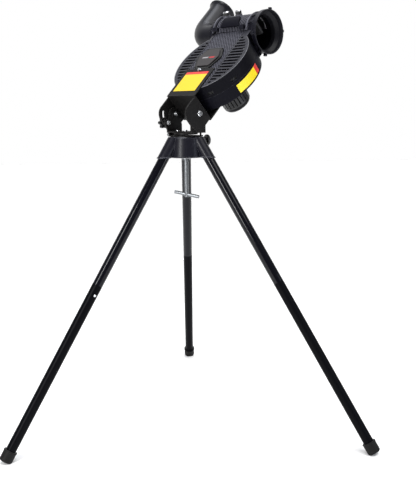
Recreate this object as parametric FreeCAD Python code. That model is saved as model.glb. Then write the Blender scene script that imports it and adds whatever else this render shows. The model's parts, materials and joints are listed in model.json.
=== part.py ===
import FreeCAD, Part
import math
import os

# Baseball pitching machine: one flywheel in a round housing under a ball barrel,
# carried by a bracket and yoke on a tripod.
# Units are millimetres.  World frame: +Z up, floor at Z = 0, rear leg towards +Y.
# Frames used below:
#   leg    origin where the leg axis leaves the hub, local Z up along the leg
#   pan    tripod axis, local X along the throw, turned by pan_angle
#   yoke   origin on the roll axis between the ears, local X along the throw
#   head   the yoke frame rolled by roll_angle, local Y up the head, local Z out of the front face

os.makedirs("parts", exist_ok=True)
V = FreeCAD.Vector
Rotation = FreeCAD.Rotation
Placement = FreeCAD.Placement
X, Y, Z = V(1, 0, 0), V(0, 1, 0), V(0, 0, 1)
ORIGIN = V(0, 0, 0)

# ---------------------------------------------------------------- fits and gaps
run_gap = 0.05          # radial clearance of a shaft in its bore
slip_gap = 0.15         # radial clearance of parts that are pushed together and screwed
side_gap = 0.5          # space between plates that slide past each other
body_gap = 0.4          # space kept between bodies that turn near each other

# ---------------------------------------------------------------- rest pose
pan_angle = -46.88
roll_angle = 43.3

# ---------------------------------------------------------------- tripod
stand_height = 943.0    # hub top above the floor
hub_height = 65.0
hub_top_radius = 53.0
hub_bottom_radius = 58.0
hub_wall = 6.0
socket_ring_radius = 80.5
leg_splay = 32.6
leg_diameter = 31.75
leg_wall = 1.6
leg_joint_drop = 448.0  # along the leg, hub bottom to the joint line
leg_neck_length = 75.0
leg_seat_depth = 46.0   # how far a leg goes into its socket
socket_wall = 3.4
socket_lip = 4.0
socket_screw_level = 30.0
socket_screw_radius = 2.5
button_drop = 32.0      # joint line to snap button
button_radius = 4.0
button_stand_out = 3.5
foot_cap_wall = 4.2
foot_cap_length = 36.0
foot_cap_floor = 8.0
foot_cap_round = 6.0
foot_sink = 3.5         # how much of the round cap the flat sole takes off
bore_radius = 12.5      # hub bore for the swivel stem

# ---------------------------------------------------------------- clamp screw under the hub
clamp_rod_radius = 7.0
clamp_rod_drop = 128.0
clamp_bar_radius = 5.5
clamp_bar_length = 84.0
clamp_bar_tilt = 10.0
clamp_bar_turn = 20.0
clamp_washer_radius = 22.0
clamp_washer_thick = 3.0

# ---------------------------------------------------------------- swivel and elevation hinge
disc_radius = 41.0
lower_disc_thick = 4.0
upper_disc_thick = 5.0
stem_length = 48.0
knuckle_radius = 5.5
knuckle_pin_radius = 2.5
knuckle_back = 50.0     # hinge axis behind the tripod axis
knuckle_width = 60.0
stop_bolt_x = 33.5
stop_bolt_y = 33.0
stop_bolt_radius = 3.0
pan_knob_radius = 18.0
pan_knob_thick = 11.0
pan_knob_azimuth = 28.0
pan_screw_radius = 4.0
pan_knob_reach = 72.0   # hub axis to the inner face of the knob

# ---------------------------------------------------------------- yoke
pivot_rise = 72.2       # hub top to the roll axis
pivot_height = stand_height + pivot_rise
yoke_offset = 1.5       # ears' middle ahead of the tripod axis
yoke_plate = 5.0
yoke_half_width = 57.0  # outer faces of the ears, along the throw
yoke_half_depth = 31.0
yoke_drop = 60.0        # roll axis to the yoke's underside
yoke_shoulder = 34.0    # roll axis down to where the ear starts to narrow
yoke_top_radius = 20.0
pivot_bolt_radius = 4.0
bolt_head_across = 13.0
bolt_hole_gap = 0.2     # radial clearance of the plain bolt holes
plate_bolt_radius = 3.0 # yoke to elevation plate
plate_bolt_place = 18.0 # from the swivel's axis, both ways
bolt_head_thick = 5.3
nut_thick = 6.5
lock_radius = 42.5      # roll lock bolt from the roll axis
lock_azimuth = 222.0    # its direction about the roll axis at rest
lock_bolt_radius = 4.0
lock_lobe_radius = 11.0
star_knob_radius = 19.0
star_knob_thick = 14.0
star_lobes = 6

# ---------------------------------------------------------------- head bracket
bracket_plate = 4.0
bracket_half_width = 62.5
ear_front = 50.0        # the ears' front edge, along Z
ear_back = -44.0
ear_drop = 51.5         # roll axis down to the ears' lower edge
ear_round = 30.0
web_height = 21.0       # roll axis up to the web's underside
bracket_front_top = 145.0
bracket_back_top = 112.0
bracket_bolt_x = 0.5
bracket_bolt_y = 138.0
bracket_bolt_radius = 3.0
back_plate_gap = 9.3    # back plate to the housing
back_screw_y = 98.0
back_screw_radius = 2.4
back_screw_xs = (-45.0, 45.0)
roll_down = 25.0        # travel towards the face level, until the web meets the yoke
roll_up = 46.7          # travel that stands the face upright
slot_spare = 3.0        # extra slot travel at each end, degrees

# ---------------------------------------------------------------- wheel housing
wheel_radius = 131.0
wheel_room = 3.2        # tyre to the housing's inner wall
neck_over_tyre = 13.0   # how far the neck rises past the tyre, under the barrel
housing_lift = 24.2     # bracket web to the housing's lowest point
housing_x = 14.2        # housing centre ahead of the middle of the ears
housing_depth = 88.0
face_z = 51.7           # front face above the roll axis plane
shell = 3.0
housing_radius = wheel_radius + wheel_room + shell
housing_y = web_height + bracket_plate + housing_lift + housing_radius  # housing centre above the roll axis
neck_half_width = 84.0
neck_height = wheel_radius + neck_over_tyre
slot_count = 16
slot_width = 7.4
band_left = 74.0        # plain band between the louvres, left and right of the housing's centre
band_right = 58.0
band_margin = 4.0
pocket_angles = (-62.0, -26.0, 206.0, 242.0)
rim_margin = 7.0
badge_width = 108.0
badge_height = 96.0
badge_thick = 7.0
badge_screw_radius = 2.5
badge_x = -13.0         # badge centre from the housing centre
badge_y = 8.0

# ---------------------------------------------------------------- wheel and motor
wheel_width = 50.0
tyre_thick = 18.0
rim_wall = 6.0
wheel_web = 8.0
shaft_radius = 8.0
bearing_wall = 4.0      # shaft to the bearing seats
window_ring = 62.0      # centres of the rim's windows
window_radius = 18.0
motor_radius = 48.5
motor_length = 100.0
motor_groove_count = 24
motor_groove = 2.0
motor_wall = 4.0
motor_end_cap = 16.0
rotor_radius = 34.0

# ---------------------------------------------------------------- barrel, muzzle and feed
ball_path_rise = 47.5   # tyre to the barrel axis
barrel_rise = wheel_radius + ball_path_rise
barrel_radius = 60.0
barrel_wall = 4.0
arc_seat = 0.9          # the barrel's arc ends this far outside the housing's faces
barrel_back = -70.5
barrel_front = 82.5
flange_thick = 4.0
flange_radius = 67.0
rib_pitch = 7.0
rib_height = 1.6
rib_width = 2.6
muzzle_radius = 70.6
muzzle_wall = 4.0
muzzle_front = 122.5
muzzle_lip = 14.0       # straight part of the muzzle behind its rim
muzzle_bead = 2.2
muzzle_lug = 7.0
clip_length = 20.0
pad_width = 44.0
pad_thick = 14.0
pinch = 64.0            # tyre to pad, less than a ball
pad_back = -39.5
pad_front = 64.5
cover_rise = 9.0
cover_low = 119.0       # pad cover's lower edge, degrees from the barrel's crown
cover_high = 85.0
cover_low_x = (-36.0, 46.0)
cover_high_x = (-33.0, 34.0)
knob_radius = 10.5
knob_height = 13.0
stud_radius = 4.0       # screw of a thumb knob
knob_xs = (-51.0, 4.0)
knob_lean = 62.0
elbow_radius = 42.4
elbow_wall = 3.0
elbow_bend = 50.0
elbow_corner = -190.5
mouth_rise = 146.0
mouth_radius = 50.3
mouth_flare = 26.0
collar_wall = 4.5
collar_length = 30.0

# ---------------------------------------------------------------- rear controls
box_x = housing_x - 80.7
box_y = housing_y + 28.6
box_width = 56.0
box_height = 72.0
box_depth = 38.0
box_wall = 2.5
switch_width = 14.0
switch_height = 21.0
dial_radius = 12.0
dial_height = 13.0
dial_stem_radius = 3.0
inlet_width = 28.0
inlet_height = 20.0

# ---------------------------------------------------------------- labels
label_thick = 0.4
front_label_width = 99.0
front_label_height = 87.0
front_label_lift = 21.5
side_label_start = -28.0
side_label_sweep = 44.0
side_label_width = 30.0


# ================================================================ helpers
def cylinder(radius, length, base=ORIGIN, axis=Z):
    return Part.makeCylinder(radius, length, base, axis)


def tube(outer, inner, length, base=ORIGIN, axis=Z):
    return cylinder(outer, length, base, axis).cut(cylinder(inner, length, base, axis))


def block(x0, x1, y0, y1, z0, z1):
    return Part.makeBox(x1 - x0, y1 - y0, z1 - z0, V(x0, y0, z0))


def block_about(x, y, width, height, z0, z1):
    """Box centred on x, y."""
    return block(x - width / 2, x + width / 2, y - height / 2, y + height / 2, z0, z1)


def fused(shapes):
    whole = shapes[0].multiFuse(shapes[1:]) if len(shapes) > 1 else shapes[0]
    return whole.removeSplitter()


def prism(points, direction):
    wire = Part.makePolygon(points + [points[0]])
    return Part.Face(wire).extrude(direction)


def spun(profile, base=ORIGIN, axis=Z):
    """Solid of revolution from (radius, height) points along an axis."""
    wire = Part.makePolygon([V(r, 0, h) for r, h in profile + [profile[0]]])
    solid = Part.Face(wire).revolve(ORIGIN, Z, 360)
    solid.Placement = Placement(base, Rotation(Z, axis))
    return solid


def hexagon(across, length, base=ORIGIN, axis=Z):
    radius = across / math.sqrt(3)
    points = [V(radius * math.cos(math.radians(60 * i)), radius * math.sin(math.radians(60 * i)), 0)
              for i in range(6)]
    solid = prism(points, V(0, 0, length))
    solid.Placement = Placement(base, Rotation(Z, axis))
    return solid


def polar(radius, degrees):
    angle = math.radians(degrees)
    return radius * math.cos(angle), radius * math.sin(angle)


def ear(points, round_radius, x0, x1):
    """Plate across X: the hull of a circle at the origin and the line between two (y, z) points."""
    def tangent(point, side):
        distance = math.hypot(*point)
        base_angle = math.atan2(point[1], point[0])
        offset = math.acos(round_radius / distance)
        return polar(round_radius, math.degrees(base_angle + side * offset))
    first, last = points[0], points[-1]
    start, end = tangent(last, 1), tangent(first, -1)
    outline = [V(x0, y, z) for y, z in points + [start, (0, 0), end]]
    plate = prism(outline, V(x1 - x0, 0, 0))
    return fused([plate, cylinder(round_radius, x1 - x0, V(x0, 0, 0), X)])


def turned(shape, base, axis, degrees):
    copy = shape.copy()
    copy.rotate(base, axis, degrees)
    return copy


# ================================================================ legs
leg_azimuths = {"left": 210.0, "right": 330.0, "rear": 90.0}
screw_sides = {"left": -1, "right": 1, "rear": 1}
pan_knob_level = stand_height - 13.0
pan_knob_axis = V(*polar(1.0, pan_knob_azimuth), 0)
pan_boss_end = hub_top_radius + 8.0
leg_radius = leg_diameter / 2
neck_radius = leg_radius - leg_wall - slip_gap
splay = math.radians(leg_splay)
hub_bottom = stand_height - hub_height
cap_radius = leg_radius + foot_cap_wall
# Height of the cap's end centre, so that its rounded lower corner is foot_sink below the floor.
cap_corner = ((cap_radius - foot_cap_round) * math.sin(splay)
              - foot_cap_round * math.cos(splay) + foot_cap_round)
cap_end_height = cap_corner - foot_sink
leg_reach = (hub_bottom - cap_end_height) / math.cos(splay)
button_level = -leg_joint_drop - button_drop


def leg_frame(azimuth):
    spread = Placement(ORIGIN, Rotation(Z, azimuth))
    lean = Placement(V(socket_ring_radius, 0, hub_bottom), Rotation(Y, -leg_splay))
    return spread.multiply(lean)


def leg_upper(screw_side):
    body = tube(leg_radius, leg_radius - leg_wall, leg_joint_drop + leg_seat_depth, V(0, 0, -leg_joint_drop))
    neck_inner = neck_radius - leg_wall
    neck_low = -leg_joint_drop - leg_neck_length
    neck = tube(neck_radius, neck_inner, leg_neck_length + leg_wall, V(0, 0, neck_low))
    shoulder = tube(leg_radius, neck_inner, leg_wall, V(0, 0, -leg_joint_drop))
    hole = cylinder(button_radius + run_gap, leg_radius, V(0, 0, button_level), Y)
    cross = cylinder(socket_screw_radius + slip_gap, leg_radius + 1, V(0, 0, socket_screw_level),
                     Y * screw_side)
    return fused([body, neck, shoulder]).cut([hole, cross])


def leg_lower():
    low = -leg_reach + foot_cap_floor
    body = tube(leg_radius, leg_radius - leg_wall, -leg_joint_drop - low, V(0, 0, low))
    hole = cylinder(button_radius + run_gap, leg_radius + 1, V(0, 0, button_level), Y)
    return body.cut(hole)


def snap_button():
    inner = neck_radius - leg_wall
    reach = leg_radius + button_stand_out
    stem = cylinder(button_radius, reach, V(0, 0, button_level), Y)
    rim = [edge for edge in stem.Edges if edge.BoundBox.YMin > reach - 0.01]
    stem = stem.makeFillet(1.2, rim)
    stem = stem.common(block(-10, 10, 4, reach + 1, button_level - 10, button_level + 10))
    foot = cylinder(button_radius + 2, 1.5, V(0, inner - button_stand_out - 4.5, button_level), Y)
    return fused([stem, foot])


def foot_cap():
    outer = cylinder(cap_radius, foot_cap_length, V(0, 0, -leg_reach))
    rim = [edge for edge in outer.Edges if edge.BoundBox.ZMax < -leg_reach + 0.01]
    outer = outer.makeFillet(foot_cap_round, rim)
    lip = cylinder(cap_radius + 1.0, 4, V(0, 0, -leg_reach + foot_cap_length - 4))
    inner = cylinder(leg_radius + run_gap, foot_cap_length, V(0, 0, -leg_reach + foot_cap_floor))
    return fused([outer, lip]).cut(inner)


def socket_outer():
    """One socket and the raised band at its mouth, both longer than the hub is high."""
    radius = leg_radius + socket_wall
    reach = hub_height / math.cos(splay) + 2 * radius
    body = cylinder(radius, reach + radius, V(0, 0, -radius))
    lip = cylinder(radius + 1.2, 3 * radius, V(0, 0, -radius))
    return body, lip


def socket_screw(side):
    """Screw through the hidden side of a socket into its leg."""
    radius = leg_radius + socket_wall
    shank = cylinder(socket_screw_radius, 9, V(0, side * (radius + 0.5), socket_screw_level), Y * -side)
    head = cylinder(4.8, 2.5, V(0, side * (radius + 0.5), socket_screw_level), Y * side)
    return fused([shank, head])


def level_slab(low, high):
    return block(-300, 300, -300, 300, low, high)


def tripod_hub():
    body = spun([(0, stand_height), (hub_top_radius - 3, stand_height), (hub_top_radius, stand_height - 3),
                 (hub_top_radius, stand_height - 10), (hub_bottom_radius, hub_bottom + 3),
                 (hub_bottom_radius - 2, hub_bottom), (0, hub_bottom)])
    sockets = []
    bores = []
    screws = []
    for side, azimuth in leg_azimuths.items():
        socket, lip = socket_outer()
        socket.Placement = leg_frame(azimuth)
        lip.Placement = leg_frame(azimuth)
        sockets.append(socket.common(level_slab(hub_bottom, stand_height)))
        sockets.append(lip.common(level_slab(hub_bottom, hub_bottom + socket_lip)))
        bore = cylinder(leg_radius + slip_gap, leg_seat_depth + 41, V(0, 0, -40))
        bore.Placement = leg_frame(azimuth)
        bores.append(bore)
        cross = cylinder(socket_screw_radius + slip_gap, 40, V(0, 0, socket_screw_level),
                         Y * screw_sides[side])
        cross.Placement = leg_frame(azimuth)
        screws.append(cross)
    hollow = spun([(0, hub_bottom - 1), (hub_bottom_radius - hub_wall, hub_bottom - 1),
                   (hub_top_radius - hub_wall, stand_height - 28), (bore_radius + 10, stand_height - 24),
                   (0, stand_height - 24)])
    post = tube(bore_radius + 9, bore_radius, hub_height, V(0, 0, hub_bottom))
    bore = cylinder(bore_radius + run_gap, hub_height + 2, V(0, 0, hub_bottom - 1))
    knob_hole = cylinder(pan_screw_radius + run_gap, hub_top_radius + 20, V(0, 0, pan_knob_level),
                         pan_knob_axis)
    boss_start = pan_knob_axis * bore_radius + V(0, 0, pan_knob_level)
    knob_boss = cylinder(11, pan_boss_end - bore_radius, boss_start, pan_knob_axis)
    whole = fused([body.cut(hollow), post] + sockets + [knob_boss])
    return whole.cut(bores + screws + [bore, knob_hole])



# ================================================================ clamp screw
def clamp_rod():
    low = hub_bottom - clamp_rod_drop
    top = stand_height - stem_length + 30
    rod = cylinder(clamp_rod_radius, top - low, V(0, 0, low))
    collar = cylinder(clamp_rod_radius + 5, 6, V(0, 0, hub_bottom - clamp_washer_thick - 6 - body_gap))
    hole = clamp_bar_solid(clamp_bar_radius + slip_gap, 40)
    return fused([rod, collar]).cut(hole)


def clamp_bar_solid(radius, length):
    centre = V(0, 0, hub_bottom - clamp_rod_drop + 9)
    bar = cylinder(radius, length, V(-length / 2, 0, 0), X)
    lean = Placement(centre, Rotation(Z, -clamp_bar_turn).multiply(Rotation(Y, clamp_bar_tilt)))
    bar.Placement = lean.multiply(bar.Placement)
    return bar


def clamp_washer():
    return tube(clamp_washer_radius, clamp_rod_radius + slip_gap, clamp_washer_thick,
                V(0, 0, hub_bottom - clamp_washer_thick))


# ================================================================ swivel (pan frame)
lower_disc_top = stand_height + body_gap + lower_disc_thick
yoke_bottom = pivot_height - yoke_drop
knuckle_height = stand_height + body_gap + knuckle_radius + 0.5
upper_disc_low = yoke_bottom - upper_disc_thick


def stop_lug(low, high):
    lug = cylinder(8, high - low, V(stop_bolt_x, stop_bolt_y, low))
    arm = block(0, 47, -8, 8, low, high)
    arm.rotate(ORIGIN, Z, math.degrees(math.atan2(stop_bolt_y, stop_bolt_x)))
    return fused([lug, arm])


def knuckles(spans, low_side):
    parts = []
    for y0, y1 in spans:
        barrel = cylinder(knuckle_radius, y1 - y0, V(-knuckle_back, y0, knuckle_height), Y)
        parts.append(barrel)
        if low_side:
            parts.append(block(-knuckle_back, -disc_radius / 2, y0, y1, stand_height + body_gap,
                               knuckle_height - 1.5))
        else:
            parts.append(block(-knuckle_back, -disc_radius / 2, y0, y1, upper_disc_low + 0.2,
                               upper_disc_low + 4.2))
            parts.append(block(-knuckle_back - knuckle_radius, -knuckle_back + knuckle_radius, y0, y1,
                               knuckle_height, upper_disc_low + 4.2))
    return parts


def knuckle_spans(outer):
    half = knuckle_width / 2
    inner_half = half / 2
    if outer:
        return [(-half, -inner_half - side_gap), (inner_half + side_gap, half)]
    return [(-inner_half, inner_half)]


def knuckle_pin_hole():
    start = V(-knuckle_back, -knuckle_width / 2 - 1, knuckle_height)
    return cylinder(knuckle_pin_radius + run_gap, knuckle_width + 2, start, Y)


def swivel_base():
    low = stand_height + body_gap
    disc = cylinder(disc_radius, lower_disc_thick, V(0, 0, low))
    stem = cylinder(bore_radius, stem_length, V(0, 0, low - stem_length))
    groove = tube(bore_radius + 1, bore_radius - 1.5, 10, V(0, 0, pan_knob_level - 5))
    threaded = cylinder(clamp_rod_radius + run_gap, 32, V(0, 0, low - stem_length - 1))
    half_gap = knuckle_width / 4 + side_gap / 2
    upper_clear = cylinder(knuckle_radius + body_gap, 2 * half_gap,
                           V(-knuckle_back, -half_gap, knuckle_height), Y)
    pin = knuckle_pin_hole()
    body = fused([disc, stem, stop_lug(low, low + 4.0)] + knuckles(knuckle_spans(True), True))
    return body.cut([groove, threaded, upper_clear, pin])


def elevation_plate():
    plate = cylinder(disc_radius - 3, upper_disc_thick, V(0, 0, upper_disc_low))
    neck = fused([plate] + knuckles(knuckle_spans(False), False))
    holes = [cylinder(plate_bolt_radius + run_gap, 5, V(x, y, yoke_bottom - 4.5)) for x,
             y in plate_bolt_places()]
    pin = knuckle_pin_hole()
    keep_low = block(-knuckle_back + knuckle_radius + body_gap, disc_radius + 10, -60, 60,
                     lower_disc_top - 20, lower_disc_top + body_gap)
    return neck.cut([pin, keep_low] + holes)


def elevation_pin():
    pin = cylinder(knuckle_pin_radius, knuckle_width + 3, V(-knuckle_back, -knuckle_width / 2 - 1.5,
                                                            knuckle_height), Y)
    head = cylinder(4.5, 2, V(-knuckle_back, knuckle_width / 2 + 0.3, knuckle_height), Y)
    clip = tube(4.2, knuckle_pin_radius - 0.1, 1, V(-knuckle_back, -knuckle_width / 2 - 1.4,
                                                    knuckle_height), Y)
    return fused([pin, head, clip])


def elevation_stop():
    low = stand_height + body_gap + 4.0 + 0.05
    bolt = cylinder(stop_bolt_radius, yoke_bottom + yoke_plate + 3 - low, V(stop_bolt_x, stop_bolt_y, low))
    head = hexagon(10, 4, V(stop_bolt_x, stop_bolt_y, yoke_bottom + yoke_plate + 3))
    return fused([bolt, head])


def pan_knob():
    base = pan_knob_axis * pan_knob_reach + V(0, 0, pan_knob_level)
    profile = [(0, 0), (pan_knob_radius - 2, 0), (pan_knob_radius, 2), (pan_knob_radius, pan_knob_thick - 3),
               (pan_knob_radius - 3, pan_knob_thick), (0, pan_knob_thick)]
    knob = spun(profile, base, pan_knob_axis)
    grips = []
    for i in range(10):
        y, z = polar(pan_knob_radius + 1.2, 36 * i)
        grips.append(cylinder(2.4, pan_knob_thick + 2, V(y, z, -1)))
    grip_shape = Part.makeCompound(grips)
    grip_shape.Placement = Placement(base, Rotation(Z, pan_knob_axis))
    hub = cylinder(9, 9, base - pan_knob_axis * 9, pan_knob_axis)
    return fused([knob.cut(grip_shape), hub])


def pan_screw():
    start = bore_radius - 0.2
    return cylinder(pan_screw_radius, pan_knob_reach - 9 - start,
                    pan_knob_axis * start + V(0, 0, pan_knob_level), pan_knob_axis)


# ================================================================ yoke (yoke frame)
lock_y, lock_z = polar(lock_radius, lock_azimuth)


def yoke():
    inner = yoke_half_width - yoke_plate
    base = block(-yoke_half_width, yoke_half_width, -yoke_half_depth, yoke_half_depth, -yoke_drop,
                 -yoke_drop + yoke_plate)
    outline = [(-yoke_half_depth, -yoke_shoulder), (-yoke_half_depth, -yoke_drop),
               (yoke_half_depth, -yoke_drop), (yoke_half_depth, -yoke_shoulder)]
    right_ear = ear(outline, yoke_top_radius, inner, yoke_half_width)
    left_ear = ear(outline, yoke_top_radius, -yoke_half_width, -inner)
    lobe = cylinder(lock_lobe_radius, yoke_plate, V(-yoke_half_width, lock_y, lock_z), X)
    lobe_web = prism([V(-yoke_half_width, -yoke_half_depth + 2, -yoke_drop + yoke_plate),
                      V(-yoke_half_width, lock_y - lock_lobe_radius + 1.5, lock_z - 5.5),
                      V(-yoke_half_width, lock_y, lock_z), V(-yoke_half_width, -10, lock_z)], V(yoke_plate,
                                                                                                0, 0))
    pivot_hole = cylinder(pivot_bolt_radius + run_gap, 2 * yoke_half_width + 2,
                          V(-yoke_half_width - 1, 0, 0), X)
    lock_hole = cylinder(lock_bolt_radius + run_gap, yoke_plate + 2,
                         V(-yoke_half_width - 1, lock_y, lock_z), X)
    stop_hole = cylinder(stop_bolt_radius + slip_gap, yoke_plate + 2,
                         V(stop_bolt_x - yoke_offset, stop_bolt_y, -yoke_drop - 1))
    stop_ear = cylinder(8, yoke_plate, V(stop_bolt_x - yoke_offset, stop_bolt_y, -yoke_drop))
    mount_holes = [cylinder(plate_bolt_radius + bolt_hole_gap, yoke_plate + 2,
                            V(x - yoke_offset, y, -yoke_drop - 1)) for x, y in plate_bolt_places()]
    whole = fused([base, right_ear, left_ear, lobe, lobe_web, stop_ear])
    return whole.cut([pivot_hole, lock_hole, stop_hole] + mount_holes)


def plate_bolt_places():
    places = (-plate_bolt_place, plate_bolt_place)
    return [(x, y) for x in places for y in places]


def yoke_plate_bolts():
    """Screws that hold the yoke on the elevation plate, heads inside the yoke."""
    bolts = []
    for x, y in plate_bolt_places():
        head = cylinder(5.5, 3.2, V(x - yoke_offset, y, -yoke_drop + yoke_plate))
        shank = cylinder(plate_bolt_radius, yoke_plate + 4, V(x - yoke_offset, y, -yoke_drop - 4))
        socket = hexagon(5, 2, V(x - yoke_offset, y, -yoke_drop + yoke_plate + 1.6))
        bolts.append(fused([head, shank]).cut(socket))
    return Part.makeCompound(bolts)


def pivot_bolt(side):
    """One pivot bolt: head outside the bracket ear, shank through both ears."""
    outer = bracket_half_width + 0.3
    inner = yoke_half_width - yoke_plate - nut_thick - 3
    shank = cylinder(pivot_bolt_radius, outer - inner, V(inner, 0, 0), X)
    washer = cylinder(9, 1.4, V(outer, 0, 0), X)
    head = hexagon(bolt_head_across, bolt_head_thick, V(outer + 1.4, 0, 0), X)
    bolt = fused([shank, washer, head])
    return bolt if side > 0 else turned(bolt, ORIGIN, Z, 180)


def pivot_nut(side):
    inner = yoke_half_width - yoke_plate - nut_thick
    nut = hexagon(bolt_head_across, nut_thick, V(inner, 0, 0), X)
    nut = nut.cut(cylinder(pivot_bolt_radius, nut_thick + 2, V(inner - 1, 0, 0), X))
    return nut if side > 0 else turned(nut, ORIGIN, Z, 180)


def lock_bolt():
    start = -yoke_half_width + yoke_plate + nut_thick + 3
    end = -bracket_half_width - 6
    bolt = cylinder(lock_bolt_radius, start - end, V(start, lock_y, lock_z), V(-1, 0, 0))
    return bolt


def lock_nut():
    start = -yoke_half_width + yoke_plate
    nut = hexagon(bolt_head_across, nut_thick, V(start, lock_y, lock_z), X)
    return nut.cut(cylinder(lock_bolt_radius + run_gap, nut_thick + 2, V(start - 1, lock_y, lock_z), X))


def star_knob():
    outer = V(-bracket_half_width - 0.6, lock_y, lock_z)
    boss = cylinder(9, star_knob_thick, outer, V(-1, 0, 0))
    core = cylinder(star_knob_radius * 0.72, star_knob_thick - 4, outer - X * 4, V(-1, 0, 0))
    lobes = []
    for i in range(star_lobes):
        y, z = polar(star_knob_radius * 0.74, 360 / star_lobes * i)
        lobes.append(cylinder(star_knob_radius * 0.26, star_knob_thick - 4, outer + V(-4, y, z), V(-1, 0, 0)))
    knob = fused([boss, core] + lobes)
    return knob.cut(cylinder(lock_bolt_radius, 5.5, outer, V(-1, 0, 0)))


# ================================================================ bracket (head frame)
bracket_back = face_z - housing_depth - back_plate_gap - bracket_plate
bracket_front = face_z + bracket_plate


def bracket_ear(x0, x1):
    """Ear below the web, with rounded lower corners."""
    plate = block(x0, x1, -ear_drop, web_height + bracket_plate, ear_back, ear_front)
    corners = [edge for edge in plate.Edges
               if edge.BoundBox.YMax < 1 - ear_drop and edge.BoundBox.XLength > bracket_plate - 1]
    return plate.makeFillet(ear_round, corners)


def bracket():
    inner = bracket_half_width - bracket_plate - 1
    web = block(-bracket_half_width, bracket_half_width, web_height, web_height + bracket_plate,
                bracket_back, bracket_front)
    front = block(-bracket_half_width, bracket_half_width, web_height, bracket_front_top, face_z,
                  bracket_front)
    back = block(-bracket_half_width, bracket_half_width, web_height, bracket_back_top, bracket_back,
                 bracket_back + bracket_plate)
    right = bracket_ear(inner, bracket_half_width)
    left = bracket_ear(-bracket_half_width, -inner)
    pivot = cylinder(pivot_bolt_radius + run_gap, 2 * bracket_half_width + 2,
                     V(-bracket_half_width - 1, 0, 0), X)
    holes = [cylinder(bracket_bolt_radius + bolt_hole_gap, 20, V(bracket_bolt_x, bracket_bolt_y, face_z - 5))]
    holes += [cylinder(back_screw_radius + bolt_hole_gap, 20, V(x, back_screw_y,
                                                                bracket_back - 5)) for x in back_screw_xs]
    whole = fused([web, front, back, right, left])
    return whole.cut([pivot, roll_slot()] + holes)


def roll_slot():
    """Arc slot in the left ear for the roll lock bolt."""
    half = lock_bolt_radius + 0.6
    start = lock_azimuth - roll_angle - roll_up - slot_spare
    sweep = roll_up + roll_down + 2 * slot_spare
    low_x, high_x = -bracket_half_width - 2, -bracket_half_width + 8
    near = polar(lock_radius - half, start)
    far = polar(lock_radius + half, start)
    corners = [V(low_x, *near), V(low_x, *far), V(high_x, *far), V(high_x, *near), V(low_x, *near)]
    face = Part.Face(Part.makePolygon(corners))
    arc = face.revolve(ORIGIN, X, sweep)
    ends = [cylinder(half, high_x - low_x, V(low_x, *polar(lock_radius, angle)), X)
            for angle in (start, start + sweep)]
    return fused([arc] + ends)


def bracket_screws():
    """Hex bolt through the front plate and two screws through the back plate."""
    front = fused([hexagon(8, 4, V(bracket_bolt_x, bracket_bolt_y, bracket_front + 1.2)),
                   cylinder(6, 1.2, V(bracket_bolt_x, bracket_bolt_y, bracket_front)),
                   cylinder(bracket_bolt_radius, 14, V(bracket_bolt_x, bracket_bolt_y, bracket_front - 13))])
    screws = [front]
    for x in back_screw_xs:
        head = cylinder(4.6, 2.6, V(x, back_screw_y, bracket_back - 2.6))
        shank = cylinder(back_screw_radius, back_plate_gap + bracket_plate + 6,
                         V(x, back_screw_y, bracket_back - 1))
        screws.append(fused([head, shank]))
    return Part.makeCompound(screws)


# ================================================================ housing (head frame)
back_z = face_z - housing_depth
seam_z = face_z - housing_depth / 2
centre = V(housing_x, housing_y, 0)
barrel_y = housing_y + barrel_rise
barrel_z = seam_z
barrel_half_angle = 180 - math.degrees(math.asin((housing_depth / 2 + arc_seat) / (barrel_radius + body_gap)))
muzzle_back = housing_x + neck_half_width + 0.2


def housing_plan(inset, z0, z1):
    """Round housing with the square neck that rises to the barrel."""
    disc = cylinder(housing_radius - inset, z1 - z0, centre + V(0, 0, z0))
    neck = block(housing_x - neck_half_width + inset, housing_x + neck_half_width - inset,
                 housing_y, housing_y + neck_height, z0, z1)
    return fused([disc, neck])


def along_barrel(radius):
    return cylinder(radius, 400, V(-200, barrel_y, barrel_z), X)


def barrel_room():
    """What the covers leave free for the barrel, and for the muzzle and the feed collar beside the neck."""
    muzzle = cylinder(muzzle_radius + muzzle_lug + body_gap, 200, V(muzzle_back, barrel_y, barrel_z), X)
    collar = cylinder(flange_radius + body_gap, 200, V(barrel_back, barrel_y, barrel_z), V(-1, 0, 0))
    return [along_barrel(barrel_radius + body_gap), muzzle, collar]


def slot_tools():
    """Louvre slots across both sides of the front face."""
    tools = []
    pitch = (2 * housing_radius - 2 * 34.0) / (slot_count - 1)
    for i in range(slot_count):
        y = -housing_radius + 34.0 + i * pitch
        half_chord = math.sqrt((housing_radius - rim_margin) ** 2 - y ** 2)
        x1 = half_chord - slot_width
        for left, right in ((band_right + band_margin, x1), (-x1, -band_left - band_margin)):
            if right - left < 8:
                continue
            tools.append(block(housing_x + left, housing_x + right, housing_y + y - slot_width / 2,
                               housing_y + y + slot_width / 2, face_z - shell - 1, face_z + 1))
    return tools


def front_cover():
    outer = housing_plan(0, seam_z, face_z)
    inner = housing_plan(shell, seam_z - 1, face_z - shell)
    hollow = outer.cut(inner)
    rails = []
    for x in (-band_left, band_right - 2):
        rails.append(block(housing_x + x, housing_x + x + 2, bracket_front_top + 1,
                           housing_y + neck_height - 20,
                           face_z - 0.5, face_z + 1.2))
    boss = tube(16, shaft_radius + 3.0, 14, centre + V(0, 0, face_z - shell - 12))
    whole = fused([hollow, boss] + rails)
    bolt_hole = cylinder(bracket_bolt_radius + bolt_hole_gap, 30,
                         V(bracket_bolt_x, bracket_bolt_y, face_z - 20))
    pockets = [screw_pocket(angle, seam_z + 14) for angle in pocket_angles]
    return whole.cut(slot_tools() + pockets + [bolt_hole] + barrel_room())


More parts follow.
